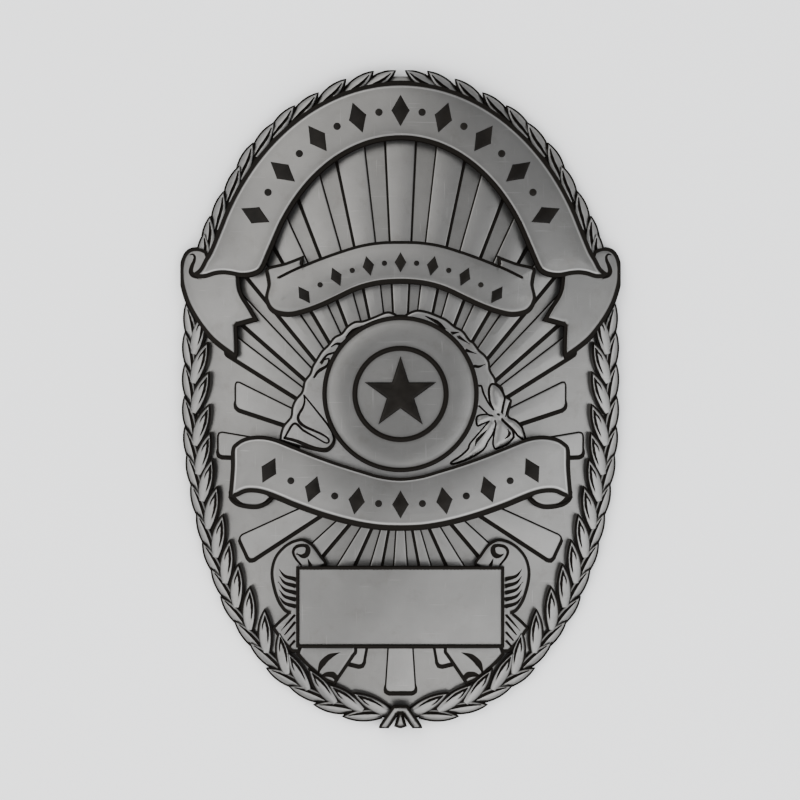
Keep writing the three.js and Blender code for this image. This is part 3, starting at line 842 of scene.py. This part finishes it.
# Tips of the leaves, read in the photograph on the left branch, from the bottom up
OUTER_TIPS = [
    (341.6, 716.4), (312.8, 704.4), (288, 685.5), (265.6, 667.6), (248.5, 641.5), (234, 620), (220, 596),
    (210.5, 567.5), (202, 541.5), (196.3, 512), (190.8, 482.6), (186.7, 453), (184.5, 426),
    (184.1, 395.7), (184.6, 363.3), (184.9, 331.1), (185.8, 302.5), (187.5, 272),
]
INNER_TIPS = [
    (351.7, 692.4), (327.7, 683.6), (308, 667.9), (287, 651), (279, 630.5), (264.5, 608.5), (250, 585.5),
    (238.5, 563), (230, 539), (223, 513.5), (217.5, 485.5), (212.5, 458), (210.6, 431.6), (209.8, 403.4),
    (209.3, 371), (208, 341.4), (204.4, 311),
]
TOP_TIPS = [
    (204.5, 231.5), (210, 215.4), (223.8, 190.8), (240.6, 164.4), (253.4, 142.2), (274.8, 121.8),
    (295, 105), (318.8, 92.2), (346.4, 78.6), (374, 70.8), (396.4, 69.8),
]

# Kinds of leaf on the right branch, whose left side is the badge's inside
OUTER_LEAF = {
    "base_inset": 1.05, "length": 4.5, "halves": (0.8, 0.76), "low": 0.1, "high": 0.55,
    "creases": [[
        (0, 0.14, 0.3), (0.2, 0.22, 0.3), (0.45, 0.25, 0.26), (0.65, 0.2, 0.16), (0.84, 0.08, 0.04),
    ]],
}
INNER_LEAF = {
    "base_inset": 1.15, "length": 5.0, "halves": (0.8, 0.95), "low": 0.3, "high": 0.72,
    "creases": [
        [
            (0.22, 0.26, 0.02), (0.4, 0.33, 0.18), (0.55, 0.32, 0.26), (0.68, 0.22, 0.26),
            (0.76, 0.1, 0.22), (0.84, 0, 0.08),
        ],
        [(0.5, -0.42, 0.02), (0.66, -0.32, 0.14), (0.76, -0.12, 0.18), (0.84, 0, 0.08)],
    ],
}
TOP_LEAF = {
    "base_inset": 0.85, "length": 4.4, "halves": (0.92, 0.84), "low": 0.1, "high": 0.55,
    "creases": [[
        (0, 0.03, 0.2), (0.3, 0.08, 0.28), (0.5, 0.16, 0.28), (0.64, 0.17, 0.24), (0.74, 0.1, 0.16),
        (0.84, 0, 0.05),
    ]],
}
# Base inset of the leaves at the crown, and the heights between which the others turn to it
CROWN_INSET = 1.95
CROWN_START = 33.0
CROWN_END = 37.4
# The curl's outline is drawn in by this much to press the leaves under it, down to this lift
PRESS_INSET = -0.2
PRESS_LIFT = 0.6


def wreath_leaf(build, tip, kind, sign, presses):
    turned = np.interp(tip[1], (CROWN_START, CROWN_END), (kind["base_inset"], CROWN_INSET))
    base = leaf_base(tip, turned, kind["length"]) * (sign, 1)
    halves = kind["halves"][::sign]
    creases = [[(u, v * sign, wide) for u, v, wide in crease] for crease in kind["creases"]]
    leaf(build, base, tip * (sign, 1), halves, kind["low"], kind["high"], creases, presses)


def wreath():
    for side, sign in (("right", 1), ("left", -1)):
        tail = outline_of(CURL_AND_TAIL, sign > 0)
        presses = [(grown(tail, PRESS_INSET), PRESS_LIFT)]
        build = Build()
        for tips, kind in ((OUTER_TIPS, OUTER_LEAF), (INNER_TIPS, INNER_LEAF)):
            for tip in mirror(photo(tips)):
                wreath_leaf(build, np.array(tip), kind, sign, presses)
        build.piece("laurel_" + side, NICKEL_LEAF, ["wreath_" + side])
        build = Build()
        for tip in mirror(photo(TOP_TIPS)):
            wreath_leaf(build, np.array(tip), TOP_LEAF, sign, presses)
        build.piece("laurel_top_" + side, NICKEL_LEAF, ["wreath_top_" + side])


def outline_of(pixels, flip=False):
    points = photo(pixels)
    return smooth(mirror(points) if flip else points)


def grown(outline, distance):
    outline = counter_clockwise(outline)
    normal, miter = outward(outline)
    return outline + normal * (miter * distance)[:, None]


# Outlines and strokes read in the photograph: its left half, and the flower at the right of the seal

CURL_AND_TAIL = [
    (214, 262), (206.6, 250.8, CORNER), (201, 248.4), (196, 247.9), (191.4, 248.6), (186.5, 251.6),
    (182.6, 258), (180.5, 266.5), (180.2, 274), (181.1, 285), (185.3, 299.7), (191, 312.1),
    (199.4, 325.4), (209.3, 337.8), (218.4, 346.1), (230, 354.6), (236, 357.6, CORNER), (237.5, 352),
    (237.3, 339.5), (236.7, 326.2, CORNER), (257.6, 320.2, CORNER), (250, 307), (243.3, 296.4),
    (240.2, 288), (239.2, 276.5, CORNER), (238, 262, CORNER),
]
CURL_STROKES = [
    ([
        (189.8, 255), (192.8, 254.4), (194.7, 256.8), (194.2, 260.7), (192.4, 265), (191.1, 269.3),
        (191.2, 272.6), (193.4, 275.2), (197.4, 276.4),
    ], (0.06, 0.22, 0.3, 0.36, 0.42, 0.48, 0.46)),
]
BAND_END_OUTER = [(209.5, 250), (204, 259.6), (200.4, 266.6), (197.4, 270.2), (192.5, 273.5, CORNER)]
BAND_END_WAVE = [
    (197.5, 277.6), (203, 278.4), (208.1, 277.5), (214.6, 275.4), (221.7, 274.5), (230, 275.1),
    (240.8, 277), (250.8, 276.2), (259, 273.1), (264, 267.5),
]
BAND_END_INNER = [(271, 251.5)]

MIDDLE_RIBBON = [
    (400.5, 241.6), (379.4, 242.3), (360.3, 245.4), (341.1, 251.1), (322, 257.8), (308.6, 263.1),
    (302.4, 265.8, CORNER), (303.4, 256.2, CORNER), (293.3, 260.2), (283.7, 263.6), (268.6, 267.4),
    (266, 271), (267, 278), (267.9, 285.6), (266, 294.2), (265.6, 300), (268.4, 307.6), (274.1, 313.3),
    (283.7, 315.9), (293.3, 315.7), (307.6, 311.9), (322, 306.4), (336.3, 299.8), (350.7, 292.8),
    (361, 288.8), (371, 286), (381, 284.2), (391, 283.3), (400.5, 283),
]
MIDDLE_RIBBON_FOLD = [([(301.6, 266.6), (290.6, 271.6), (279.2, 277.4)], (0.26, 0.28, 0.26))]

LOWER_RIBBON = [
    (400.5, 477.9), (380, 475.5), (362.8, 470.6), (339.8, 463.5), (316.8, 455.4), (293.9, 446.4),
    (274.4, 438.8), (259.4, 436.4), (245.7, 438.2), (236.5, 443.2), (232, 450), (231.5, 470),
    (229.3, 497, CORNER), (235.6, 497.3), (243.4, 493.8), (249.1, 492.6), (257.7, 493.1), (267.7, 495.6),
    (281, 500.8), (293.9, 506.2), (316.8, 514.5), (339.8, 521.4), (362.8, 526.6), (385.7, 529.4),
]
ROLL_END = [
    (236, 484, CORNER), (229.3, 492, CORNER), (229.9, 498.4), (232.7, 502.1), (237.7, 505.4),
    (244.9, 507.3), (252, 508.1), (257.7, 507.9), (263.4, 506.1), (268.4, 503.2), (271.6, 499.8),
    (273.6, 497, CORNER), (266, 486, CORNER),
]
ROLL_STROKES = [
    ([(230.5, 495), (233.4, 498.6), (238, 502), (244, 504.4)], (0.5, 0.55, 0.35, 0.1)),
    ([(272, 496.4), (268.4, 499.6), (263.4, 503.2)], (0.3, 0.3, 0.1)),
]

PANEL = (296.0, 566.4, 504.4, 647.7)

SCROLL = [
    (312, 574, CORNER), (325.9, 564.8), (320.5, 554.9), (313.1, 544.9), (306.4, 540.4), (300.6, 539.1),
    (291.5, 541.6), (283.2, 547), (275.8, 555.7), (272, 565.7), (271.2, 576.4), (273.7, 589.7),
    (278.2, 602.1), (284, 610.4), (288.4, 613, CORNER), (279.9, 620.4), (272.5, 628, CORNER), (281, 640),
    (292, 652, CORNER), (300, 652, CORNER), (300, 600, CORNER),
]
SCROLL_STROKES = [
    ([
        (297.7, 554.3), (302, 556.1), (306.4, 554.7), (308.1, 549.9), (306.5, 546.2), (301.5, 545.4),
        (295.7, 547.2), (293.2, 551.8), (295.4, 558), (301, 565),
    ], (0.1, 0.5, 0.5, 0.32, 0.3, 0.26, 0.22, 0.2)),
    ([(307.7, 558.6), (310.2, 565)], (0.05, 0.35)),
    ([(282, 629.5), (294.4, 615.4)], (0.05, 0.2, 0.26)),
    ([(284.5, 634.9), (294.4, 622.9)], (0.1, 0.22, 0.26)),
    ([(287.8, 640.3), (294.4, 632.8)], (0.15, 0.24)),
    ([(289.9, 646.1), (294.4, 641.1)], (0.2, 0.26)),
]
FLUTES = 5
FLUTE_FIRST = [(279.2, 569.4), (284.9, 576), (294.8, 579)]
FLUTE_PITCH = 6.8

BASE_LEAF = [
    (300, 645, CORNER), (356, 645, CORNER), (356.5, 652), (352.5, 658), (334.5, 684.5, CORNER),
    (322, 678), (306, 664), (297, 654, CORNER),
]
BASE_LEAF_STROKES = [
    ([(339.4, 652.6), (329.6, 656.6), (322, 664), (318, 673.6)], (0.05, 0.5, 0.62, 0.1)),
    ([(319.8, 676.4), (327, 674.4), (333, 675), (336.2, 678)], (0.05, 0.42, 0.6, 0.5)),
]

KNOT = [
    (400.5, 705.4), (393.4, 705.7, CORNER), (379.9, 725.2), (381, 728.6), (385, 729.3), (388.2, 728),
    (398.2, 713.9, CORNER), (394.6, 726, CORNER), (400.5, 727.8),
]

SPRIG = [
    (397, 330, CORNER), (396, 314.2, CORNER), (387.3, 311.8), (374.1, 316.8), (363, 320.8),
    (354.7, 321.6), (347, 326.4), (341.4, 333.2), (334, 337.2), (328, 344.8), (321.6, 351),
    (315.4, 360.8), (312.1, 366.6), (309.8, 373.5), (304.4, 380.8), (302.8, 388), (301.2, 392.6),
    (295.5, 399.2), (292, 407), (290.6, 416.6), (283.8, 425), (281, 432), (279.6, 441, CORNER),
    (298, 446.4), (312.9, 450.5), (326, 452.4), (333, 447.5), (335.6, 440), (333.8, 433),
    (340, 432, CORNER), (334, 400, CORNER), (345, 350, CORNER),
]
SPRIG_STROKES = [
    ([
        (303.9, 395), (304.6, 401), (302.9, 407.4), (298.4, 415.6), (298.9, 421), (304, 426),
        (312, 429.8), (321, 433.8), (327.6, 438), (328.9, 441.6), (325.4, 442.8), (314.9, 436.9),
        (303.7, 430.6), (294, 423.7), (284.6, 437.8),
    ], (0.14, 0.24, 0.3, 0.24, 0.18, 0.16, 0.22, 0.24, 0.2)),
    ([
        (303.9, 395), (315, 408.8), (328.2, 425.5), (333.4, 434.7), (333.8, 441), (330, 447),
        (324, 449.4), (312.9, 447.6), (296, 440.9), (284.4, 437.9),
    ], (0.14, 0.18, 0.2, 0.26, 0.34, 0.36, 0.26)),
    ([(341, 344), (336, 343.9), (331.4, 346.6)], (0.3, 0.2, 0.1)),
    ([
        (340.4, 344.6), (336.6, 350.6), (334.6, 352.4), (327.8, 354.6), (324.6, 357.8), (321.6, 362.4),
    ], (0.26, 0.2, 0.2, 0.3)),
    ([
        (324.8, 359.6), (328.8, 358.9), (327.3, 365.2), (318.4, 371.4), (314.2, 377.2),
    ], (0.12, 0.22, 0.34, 0.2)),
    ([(362, 326), (352.6, 331), (346.6, 337)], (0.1, 0.34, 0.2)),
]

FLOWER_BRANCH = [
    (404, 330, CORNER), (404.6, 315.4, CORNER), (411.5, 311.6), (419, 310), (428.7, 312), (437.9, 315.5),
    (446.6, 319.6), (455.1, 326.4), (463.1, 331), (469.4, 339.4), (474, 342.6), (479.2, 349.9),
    (485, 355), (489, 361.4), (490.4, 370), (495.2, 378.2), (496.5, 383), (502, 387.1), (503.6, 391.8),
    (505.4, 396), (510.9, 399.4), (511.1, 403.5), (508.4, 415.6), (516.3, 420.2), (521.8, 426),
    (523.6, 430.1), (525.6, 436.9), (525.6, 440.4), (526, 448, CORNER), (500, 458), (470, 469),
    (440, 478.5), (420, 483), (400.5, 484.5), (381, 483), (361, 478), (340, 470), (318, 462),
    (298, 455, CORNER), (298, 436, CORNER), (322, 428, CORNER), (340, 428, CORNER), (345, 440),
    (360, 453.5), (380, 463), (400.5, 466), (420, 463.5), (440, 454), (456, 440, CORNER),
    (464, 380, CORNER), (440, 342, CORNER),
]
FLOWER_STROKES = [
    ([(426, 316.4), (438, 322.8), (444, 328.8)], (0.1, 0.35, 0.3)),
    ([(452.6, 333.2), (458.8, 332.2)], (0.3, 0.08)),
    ([(459.4, 337.4), (468.6, 343.4)], (0.3, 0.05)),
    ([(466.6, 350.4), (475.4, 353.4)], (0.3, 0.05)),
    ([(474.6, 366.2), (479, 366.6), (484, 364.8)], (0.3, 0.24, 0.06)),
]
# Lines of the flower's petals and leaves; the first six also bound a rounded petal or leaf
PETAL_STROKES = [
    ([
        (493.8, 409.6), (490.4, 402.8), (489, 394.6), (489.3, 387.8), (491.7, 384.1), (495.8, 384.8),
        (500.6, 389.1), (504, 395.3), (504.7, 398.7), (503.3, 405.5), (502, 412.3),
    ], (0.14, 0.24, 0.2, 0.2, 0.24)),
    ([
        (491.7, 415.1), (484.9, 414.4), (478.1, 415.8), (476.3, 419.2), (476.7, 424), (478.1, 425.7),
        (482.2, 424), (489, 421.2),
    ], (0.12, 0.18, 0.2, 0.14)),
    ([
        (489, 421.6), (484.9, 426), (476.7, 435.6), (469.9, 443.8), (467.8, 449.3), (460.3, 456.1),
        (452.1, 461.5), (451, 463.6), (454.8, 463.6), (467.1, 459.5), (482.2, 450.6), (488.3, 441),
        (493.1, 432.9), (495.8, 424.6), (495.2, 421.2),
    ], (0.14, 0.2, 0.2, 0.16)),
    ([
        (495.8, 424.6), (494.5, 431.5), (493.4, 438.3), (493.1, 444.4), (495.2, 448.8), (498.6, 448.1),
        (506.8, 444.4), (512.9, 438.3), (513.6, 435.6), (512.2, 430.1), (507.5, 425.3), (502, 419.9),
    ], (0.14, 0.18, 0.2, 0.22, 0.2)),
    ([
        (502.6, 419.4), (508.1, 424.6), (513.6, 430.1), (517.7, 435.6), (521.8, 438.6), (525.2, 440.4),
        (525, 434), (521, 426.4), (515.4, 421), (508.6, 417.4),
    ], (0.14, 0.2, 0.2, 0.16, 0.16)),
    ([(479.4, 385.7), (481.5, 386.4), (483.5, 393.2), (488.3, 402.8), (493.1, 409.6)], (0.18, 0.2, 0.14)),
    ([(479.4, 406.2), (489, 415.1), (492.4, 415.8)], (0.18, 0.14)),
    ([(509.4, 403), (507.4, 409.6), (505.6, 416.2)], (0.1, 0.16, 0.12)),
    ([(487, 430.1), (480.8, 436.3), (476.7, 441), (475.3, 445.8)], (0.06, 0.26, 0.3, 0.06)),
    ([(508.1, 430.1), (509.5, 433.5), (507.5, 436.9), (505.4, 438.3)], (0.06, 0.3, 0.22, 0.08)),
    ([(498.1, 414.2), (499.1, 414.6)], (0.22, 0.22)),
]
PETALS = 6

SEAL_MIDDLE_Y = 0.6
SEAL_EDGE = 8.92
SEAL_SKIRT = 9.05
STAR_RADIUS = 4.3
STAR_INNER_SHARE = 0.382
STAR_TOP = SEAL_LIFT + 0.5
FLOWER_LIFT = SPRIG_LIFT - 0.38
SCROLL_LIFT = 0.95
BASE_LEAF_LIFT = 0.9
ROLL_LIFT = TAIL_LIFT - 0.25

# Profile of the seal: radius, height over its field, oxide
SEAL_PROFILE = [
    (0.02, 0.1, 0), (0.8, 0.1, 0), (1.6, 0.09, 0), (2.4, 0.07, 0), (3.2, 0.04, 0), (4.0, 0.01, 0),
    (4.6, 0, 0.02), (4.85, 0, 0.15), (4.9, 0, 0.3), (4.96, 0, 1), (5.0, 0.2, 1), (5.06, 0.27, 1),
    (5.2, 0.29, 1), (5.34, 0.27, 1), (5.4, 0.2, 1), (5.44, 0, 1), (5.5, 0, 0.3), (5.55, 0, 0.15),
    (5.8, 0.02, 0.02), (6.3, 0.07, 0), (6.9, 0.09, 0), (7.5, 0.07, 0), (8.0, 0.02, 0.02),
    (8.3, -0.02, 0.14), (8.4, -0.02, 0.3), (8.46, -0.02, 1), (8.5, 0.15, 1), (8.56, 0.22, 1),
    (8.68, 0.24, 1), (8.8, 0.22, 1), (8.88, 0.14, 1), (SEAL_EDGE, 0, 1),
]
SEAL_AROUND = 200

# Rows of the panel's frame and field, of the star and of the knot: distance in, lift and oxide
PANEL_ROWS = [
    (0, PANEL_LIFT + 0.16, 1), (0.04, PANEL_LIFT + 0.26, 1), (0.1, PANEL_LIFT + 0.32, 1),
    (0.24, PANEL_LIFT + 0.32, 1), (0.3, PANEL_LIFT + 0.26, 1), (0.34, PANEL_LIFT, 1),
    (0.38, PANEL_LIFT, 0.1), (0.5, PANEL_LIFT, 0), (99, PANEL_LIFT, 0),
]
STAR_ROWS = [
    (0, STAR_TOP - 0.22, 0), (0.06, STAR_TOP - 0.1, 0), (0.14, STAR_TOP - 0.03, 0), (0.3, STAR_TOP, 0),
    (1.2, STAR_TOP + 0.1, 0), (99, STAR_TOP + 0.1, 0),
]
KNOT_ROWS = [
    (0, 1.3, 1), (0.1, 1.4, 1), (0.2, 1.5, 1), (0.25, 1.66, 0.4), (0.33, 1.78, 0.15), (0.6, 1.9, 0),
    (99, 1.92, 0),
]


def both_halves(left):
    """Left half outline from the middle line round to it again, with its mirror image."""
    points = photo(left)
    other = mirror(points)[::-1]
    return smooth(points + [p for p in other if abs(p[0]) > 0.05])


def on_banner(t, inset):
    """Point of the banner's oval at an angle, an inset within its outer edge."""
    x = (BANNER_HALF_WIDTH - inset) * math.cos(t)
    return x, BANNER_CENTRE_Y + (BANNER_RISE - inset) * math.sin(t)


def arc(angle_from, angle_to, count, inset):
    angles = np.radians(np.linspace(angle_from, angle_to, count))
    return [on_banner(t, inset) for t in angles]


# Angles where the banner's outer and inner edge leave its oval for the drawn ends
BAND_OUTER_END = 155
BAND_INNER_END = 147


def band_outline():
    outer = arc(90, BAND_OUTER_END, 24, 0)
    inner = arc(BAND_INNER_END, 92, 20, BANNER_BAND)
    left = outer + photo(BAND_END_OUTER) + photo(BAND_END_WAVE) + photo(BAND_END_INNER) + inner
    return smooth(left + mirror(left)[:0:-1])


def strokes_of(table, flip=False):
    return [Stroke(mirror(photo(points)) if flip else photo(points), widths) for points, widths in table]


def struck(name, node, outline, rows, material=NICKEL_BAND, **options):
    """Nickel piece of one relief."""
    build = Build()
    relief(build, outline, rows, **options)
    build.piece(name, material, [node])


def struck_pair(name, node, pixels, rows, stroke_table=(), **options):
    """The same piece left and right, mirrored.

    A node whose name ends in a low line has a solid on each side.
    """
    for side, flip in (("left", False), ("right", True)):
        solid = node + side if node.endswith("_") else node
        strokes = strokes_of(stroke_table, flip)
        struck(f"{name}_{side}", solid, outline_of(pixels, flip), rows, strokes=strokes, **options)


def knot():
    struck("wreath_tie", "wreath_knot", both_halves(KNOT), KNOT_ROWS, NICKEL_LEAF, skirt=0.05, grid=0.2)


def top_banner():
    rows = raised_rows(BAND_LIFT, line=0.42, crown=0.12)
    struck("banner_band", "top_banner", band_outline(), rows, skirt=0.1)
    rows = raised_rows(TAIL_LIFT, line=0.34)
    struck_pair("banner_tail", "top_banner", CURL_AND_TAIL, rows, CURL_STROKES, skirt=0.1, shade=0.2)


def middle_ribbon():
    folds = strokes_of(MIDDLE_RIBBON_FOLD) + strokes_of(MIDDLE_RIBBON_FOLD, True)
    rows = raised_rows(BAND_LIFT, line=0.26, crown=0.1)
    outline = both_halves(MIDDLE_RIBBON)
    struck("ribbon_middle", "middle_ribbon", outline, rows, skirt=0.08, strokes=folds, shade=0.6)


def lower_ribbon():
    rows = raised_rows(BAND_LIFT, line=0.32, crown=0.12)
    struck("ribbon_lower", "lower_ribbon", both_halves(LOWER_RIBBON), rows, skirt=0.1, shade=0.35)
    rows = raised_rows(ROLL_LIFT, line=0.36)
    struck_pair("ribbon_roll", "lower_ribbon", ROLL_END, rows, ROLL_STROKES, skirt=0.1)


def seal():
    build = Build()
    rows = [(radius, SEAL_LIFT + height, black) for radius, height, black in SEAL_PROFILE]
    rows += [(SEAL_EDGE, SKIRT_LIFT, 1), (SEAL_SKIRT, SKIRT_LIFT - SKIRT_FALL, 1)]
    rows.append((SEAL_SKIRT, PIECE_LOW, 1))
    angles = np.linspace(0, 2 * math.pi, SEAL_AROUND, endpoint=False)
    circle = np.column_stack([np.cos(angles), np.sin(angles)])
    rings = [on_dome((0, SEAL_MIDDLE_Y) + circle * radius, lift) for radius, lift, _ in rows]
    faces = ring_faces(len(rings), SEAL_AROUND)
    faces.append(tuple(range(SEAL_AROUND)))
    last = (len(rings) - 1) * SEAL_AROUND
    faces.append(tuple(last + k for k in range(SEAL_AROUND - 1, -1, -1)))
    build.add(np.concatenate(rings), np.repeat([row[2] for row in rows], SEAL_AROUND), faces)
    build.piece("seal_face", NICKEL_BAND, ["seal_disc"])


def star():
    build = Build()
    points = []
    for k in range(10):
        r = STAR_RADIUS * (1 if k % 2 == 0 else STAR_INNER_SHARE)
        t = UP + k * math.pi / 5
        points.append((r * math.cos(t), SEAL_MIDDLE_Y + r * math.sin(t), CORNER))
    relief(build, smooth(points, step=0.15), STAR_ROWS, skirt=0, low=SEAL_LIFT - 0.05, grid=0.25)
    build.piece("enamel_star", ENAMEL, ["star"])


def beside_seal():
    rows = raised_rows(SPRIG_LIFT, line=0.14, fall=0.16)
    strokes = strokes_of(SPRIG_STROKES)
    outline = outline_of(SPRIG)
    struck("leaf_sprig", "sprig_left", outline, rows, NICKEL_LEAF, skirt=0.06, strokes=strokes, grid=0.3)
    petals = [smooth(photo(points), step=0.4) for points, _ in PETAL_STROKES[:PETALS]]

    def petal_swell(plan):
        swell = np.zeros(len(plan))
        for petal in petals:
            away, _ = distance_to(plan, petal)
            swell = np.maximum(swell, inside(plan, petal) * ease(away / PETAL_ROUND) * PETAL_RISE)
        return swell

    rows = raised_rows(FLOWER_LIFT, line=0.14, fall=0.16)
    options = {"strokes": strokes_of(FLOWER_STROKES + PETAL_STROKES), "grid": 0.24, "swell": petal_swell}
    outline = outline_of(FLOWER_BRANCH)
    struck("flower_sprig", "flower_right", outline, rows, NICKEL_LEAF, skirt=0.06, **options)


def panel():
    x0, y0, x1, y1 = PANEL
    corners = photo([(x0, y0, CORNER), (x1, y0, CORNER), (x1, y1, CORNER), (x0, y1, CORNER)])
    struck("panel_plate", "number_panel", smooth(corners), PANEL_ROWS, skirt=0.08)


def scrolls():
    flutes = []
    for k in range(FLUTES):
        down = k * FLUTE_PITCH
        flutes.append(([(x, y + down) for x, y in FLUTE_FIRST], (0.04, 0.3, 0.42)))
    strokes = SCROLL_STROKES + flutes
    rows = raised_rows(SCROLL_LIFT, line=0.2)
    struck_pair("fluted_scroll", "scroll_", SCROLL, rows, strokes, skirt=0.08, grid=0.3, shade=0.2)


def base_leaves():
    rows = raised_rows(BASE_LEAF_LIFT, line=0.22)
    struck_pair("base_leaf_face", "base_leaf_", BASE_LEAF, rows, BASE_LEAF_STROKES, skirt=0.08, grid=0.3)


# Generic enamel ornament where the drawing has lettering

INLAY_LIFT = BAND_LIFT + 0.2
INLAY_ROWS = [
    (0, INLAY_LIFT - 0.05, 0), (0.05, INLAY_LIFT + 0.02, 0), (0.12, INLAY_LIFT + 0.05, 0),
    (99, INLAY_LIFT + 0.06, 0),
]
# Outline of a lozenge, as shares of its length and its width
LOZENGE = [
    (0.5, 0), (0.13, 0.36), (0, 0.5), (-0.13, 0.36), (-0.5, 0), (-0.13, -0.36), (0, -0.5), (0.13, -0.36),
]
# Ornament of each band: number of lozenges, their length and width, and the radius of the dots
BANNER_ORNAMENT = (9, 3.6, 2.1, 0.42)
MIDDLE_ORNAMENT = (7, 2.3, 1.35, 0.3)
LOWER_ORNAMENT = (7, 3.2, 1.9, 0.4)
BANNER_SPREAD = 58
# Middle line of a ribbon: height of its middle, its rise to the ends and its half length
MIDDLE_LINE = (15.6, -3.7, 11.0)
LOWER_LINE = (-12.0, 3.9, 15.0)
DOT_SIDES = 20


def lozenge(centre, tall, wide, turn):
    long_way = np.array([math.cos(turn), math.sin(turn)])
    cross_way = np.array([-long_way[1], long_way[0]])
    points = []
    for along, across in LOZENGE:
        p = np.array(centre) + long_way * along * tall + cross_way * across * wide
        tip = abs(along) == 0.5 or abs(across) == 0.5
        points.append((p[0], p[1], CORNER) if tip else (p[0], p[1]))
    return smooth(points, step=0.14)


def dot(centre, radius):
    angles = np.linspace(0, 2 * math.pi, DOT_SIDES, endpoint=False)
    points = [(centre[0] + radius * math.cos(t), centre[1] + radius * math.sin(t)) for t in angles]
    return np.array(points)


def ornament(name, kind, place):
    """Lozenges with dots between. Place gives the point and the turn at a share from -1 to 1."""
    build = Build()
    count, tall, wide, radius = kind
    for k in range(2 * count - 1):
        centre, turn = place(2 * k / (2 * count - 2) - 1)
        outline = lozenge(centre, tall, wide, turn) if k % 2 == 0 else dot(centre, radius)
        relief(build, outline, INLAY_ROWS, skirt=0, low=INLAY_LIFT - 0.35, grid=0.4)
    build.piece(name, ENAMEL, [])


def banner_place(share):
    t = math.radians(90 + BANNER_SPREAD * share)
    a = BANNER_HALF_WIDTH - BANNER_BAND / 2
    b = BANNER_RISE - BANNER_BAND / 2
    return on_banner(t, BANNER_BAND / 2), math.atan2(b * math.sin(t) * a**2, math.cos(t) * a * b**2)


def parabola(middle_y, rise, half_length):
    """Place along a ribbon whose middle line is a parabola."""

    def place(share):
        turn = UP + math.atan(2 * rise * share / half_length)
        return (half_length * share, middle_y + rise * share**2), turn

    return place


# Pin behind the plate: a wire between two feet, made as one piece

PIN_SPAN = 28.0
PIN_Y = 10.0
PIN_RADIUS = 0.6
PIN_Z = 1.4
PIN_AROUND = 24
PIN_STEPS = 40
PIN_END = 0.2
FOOT_LENGTH = 3.0
FOOT_WIDTH = 3.4
FOOT_AROUND = 48
FOOT_SQUARE = 0.35
FOOT_SINK = 0.05
# Levels of a foot: share of its height, and share of its length and width
FOOT_LEVELS = [(0.0, 0.82), (0.06, 0.94), (0.16, 1.0), (0.8, 1.0), (1.0, 1.06)]


def closed_tube(build, rings, count):
    """Tube through rings of points, closed at both ends."""
    faces = ring_faces(len(rings), count, turned=True)
    faces.append(tuple(range(count - 1, -1, -1)))
    faces.append(tuple((len(rings) - 1) * count + k for k in range(count)))
    build.add([p for ring in rings for p in ring], np.zeros(count * len(rings)), faces)


def pin():
    build = Build()
    spots = np.linspace(-PIN_SPAN / 2 + PIN_END, PIN_SPAN / 2 - PIN_END, PIN_STEPS)
    angles = np.linspace(0, 2 * math.pi, PIN_AROUND, endpoint=False)
    section = [(PIN_Y + PIN_RADIUS * math.cos(a), PIN_Z + PIN_RADIUS * math.sin(a)) for a in angles]
    closed_tube(build, [[(x, y, z) for y, z in section] for x in spots], PIN_AROUND)
    for sign in (-1, 1):
        foot(build, sign * (PIN_SPAN - FOOT_LENGTH) / 2)
    build.piece("pin_and_feet", NICKEL_PIN, ["back_pin"])


def foot(build, x):
    """Rounded block from the wire up to the hollow back."""
    bottom = PIN_Z - PIN_RADIUS
    rings = []
    for share, scale in FOOT_LEVELS:
        ring = []
        for k in range(FOOT_AROUND):
            t = 2 * math.pi * k / FOOT_AROUND
            c, s = math.cos(t), math.sin(t)
            px = x + FOOT_LENGTH / 2 * scale * math.copysign(abs(c) ** FOOT_SQUARE, c)
            py = PIN_Y + FOOT_WIDTH / 2 * scale * math.copysign(abs(s) ** FOOT_SQUARE, s)
            roof = float(dome(np.array(px), np.array(py))) - PLATE_WALL + FOOT_SINK
            ring.append((px, py, bottom + (roof - bottom) * share))
        rings.append(ring)
    closed_tube(build, rings, FOOT_AROUND)


camera()
lights()
stage()
plate()
sunburst()
wreath()
knot()
top_banner()
middle_ribbon()
lower_ribbon()
seal()
star()
beside_seal()
panel()
scrolls()
base_leaves()
pin()
ornament("banner_inlay", BANNER_ORNAMENT, banner_place)
ornament("middle_inlay", MIDDLE_ORNAMENT, parabola(*MIDDLE_LINE))
ornament("lower_inlay", LOWER_ORNAMENT, parabola(*LOWER_LINE))
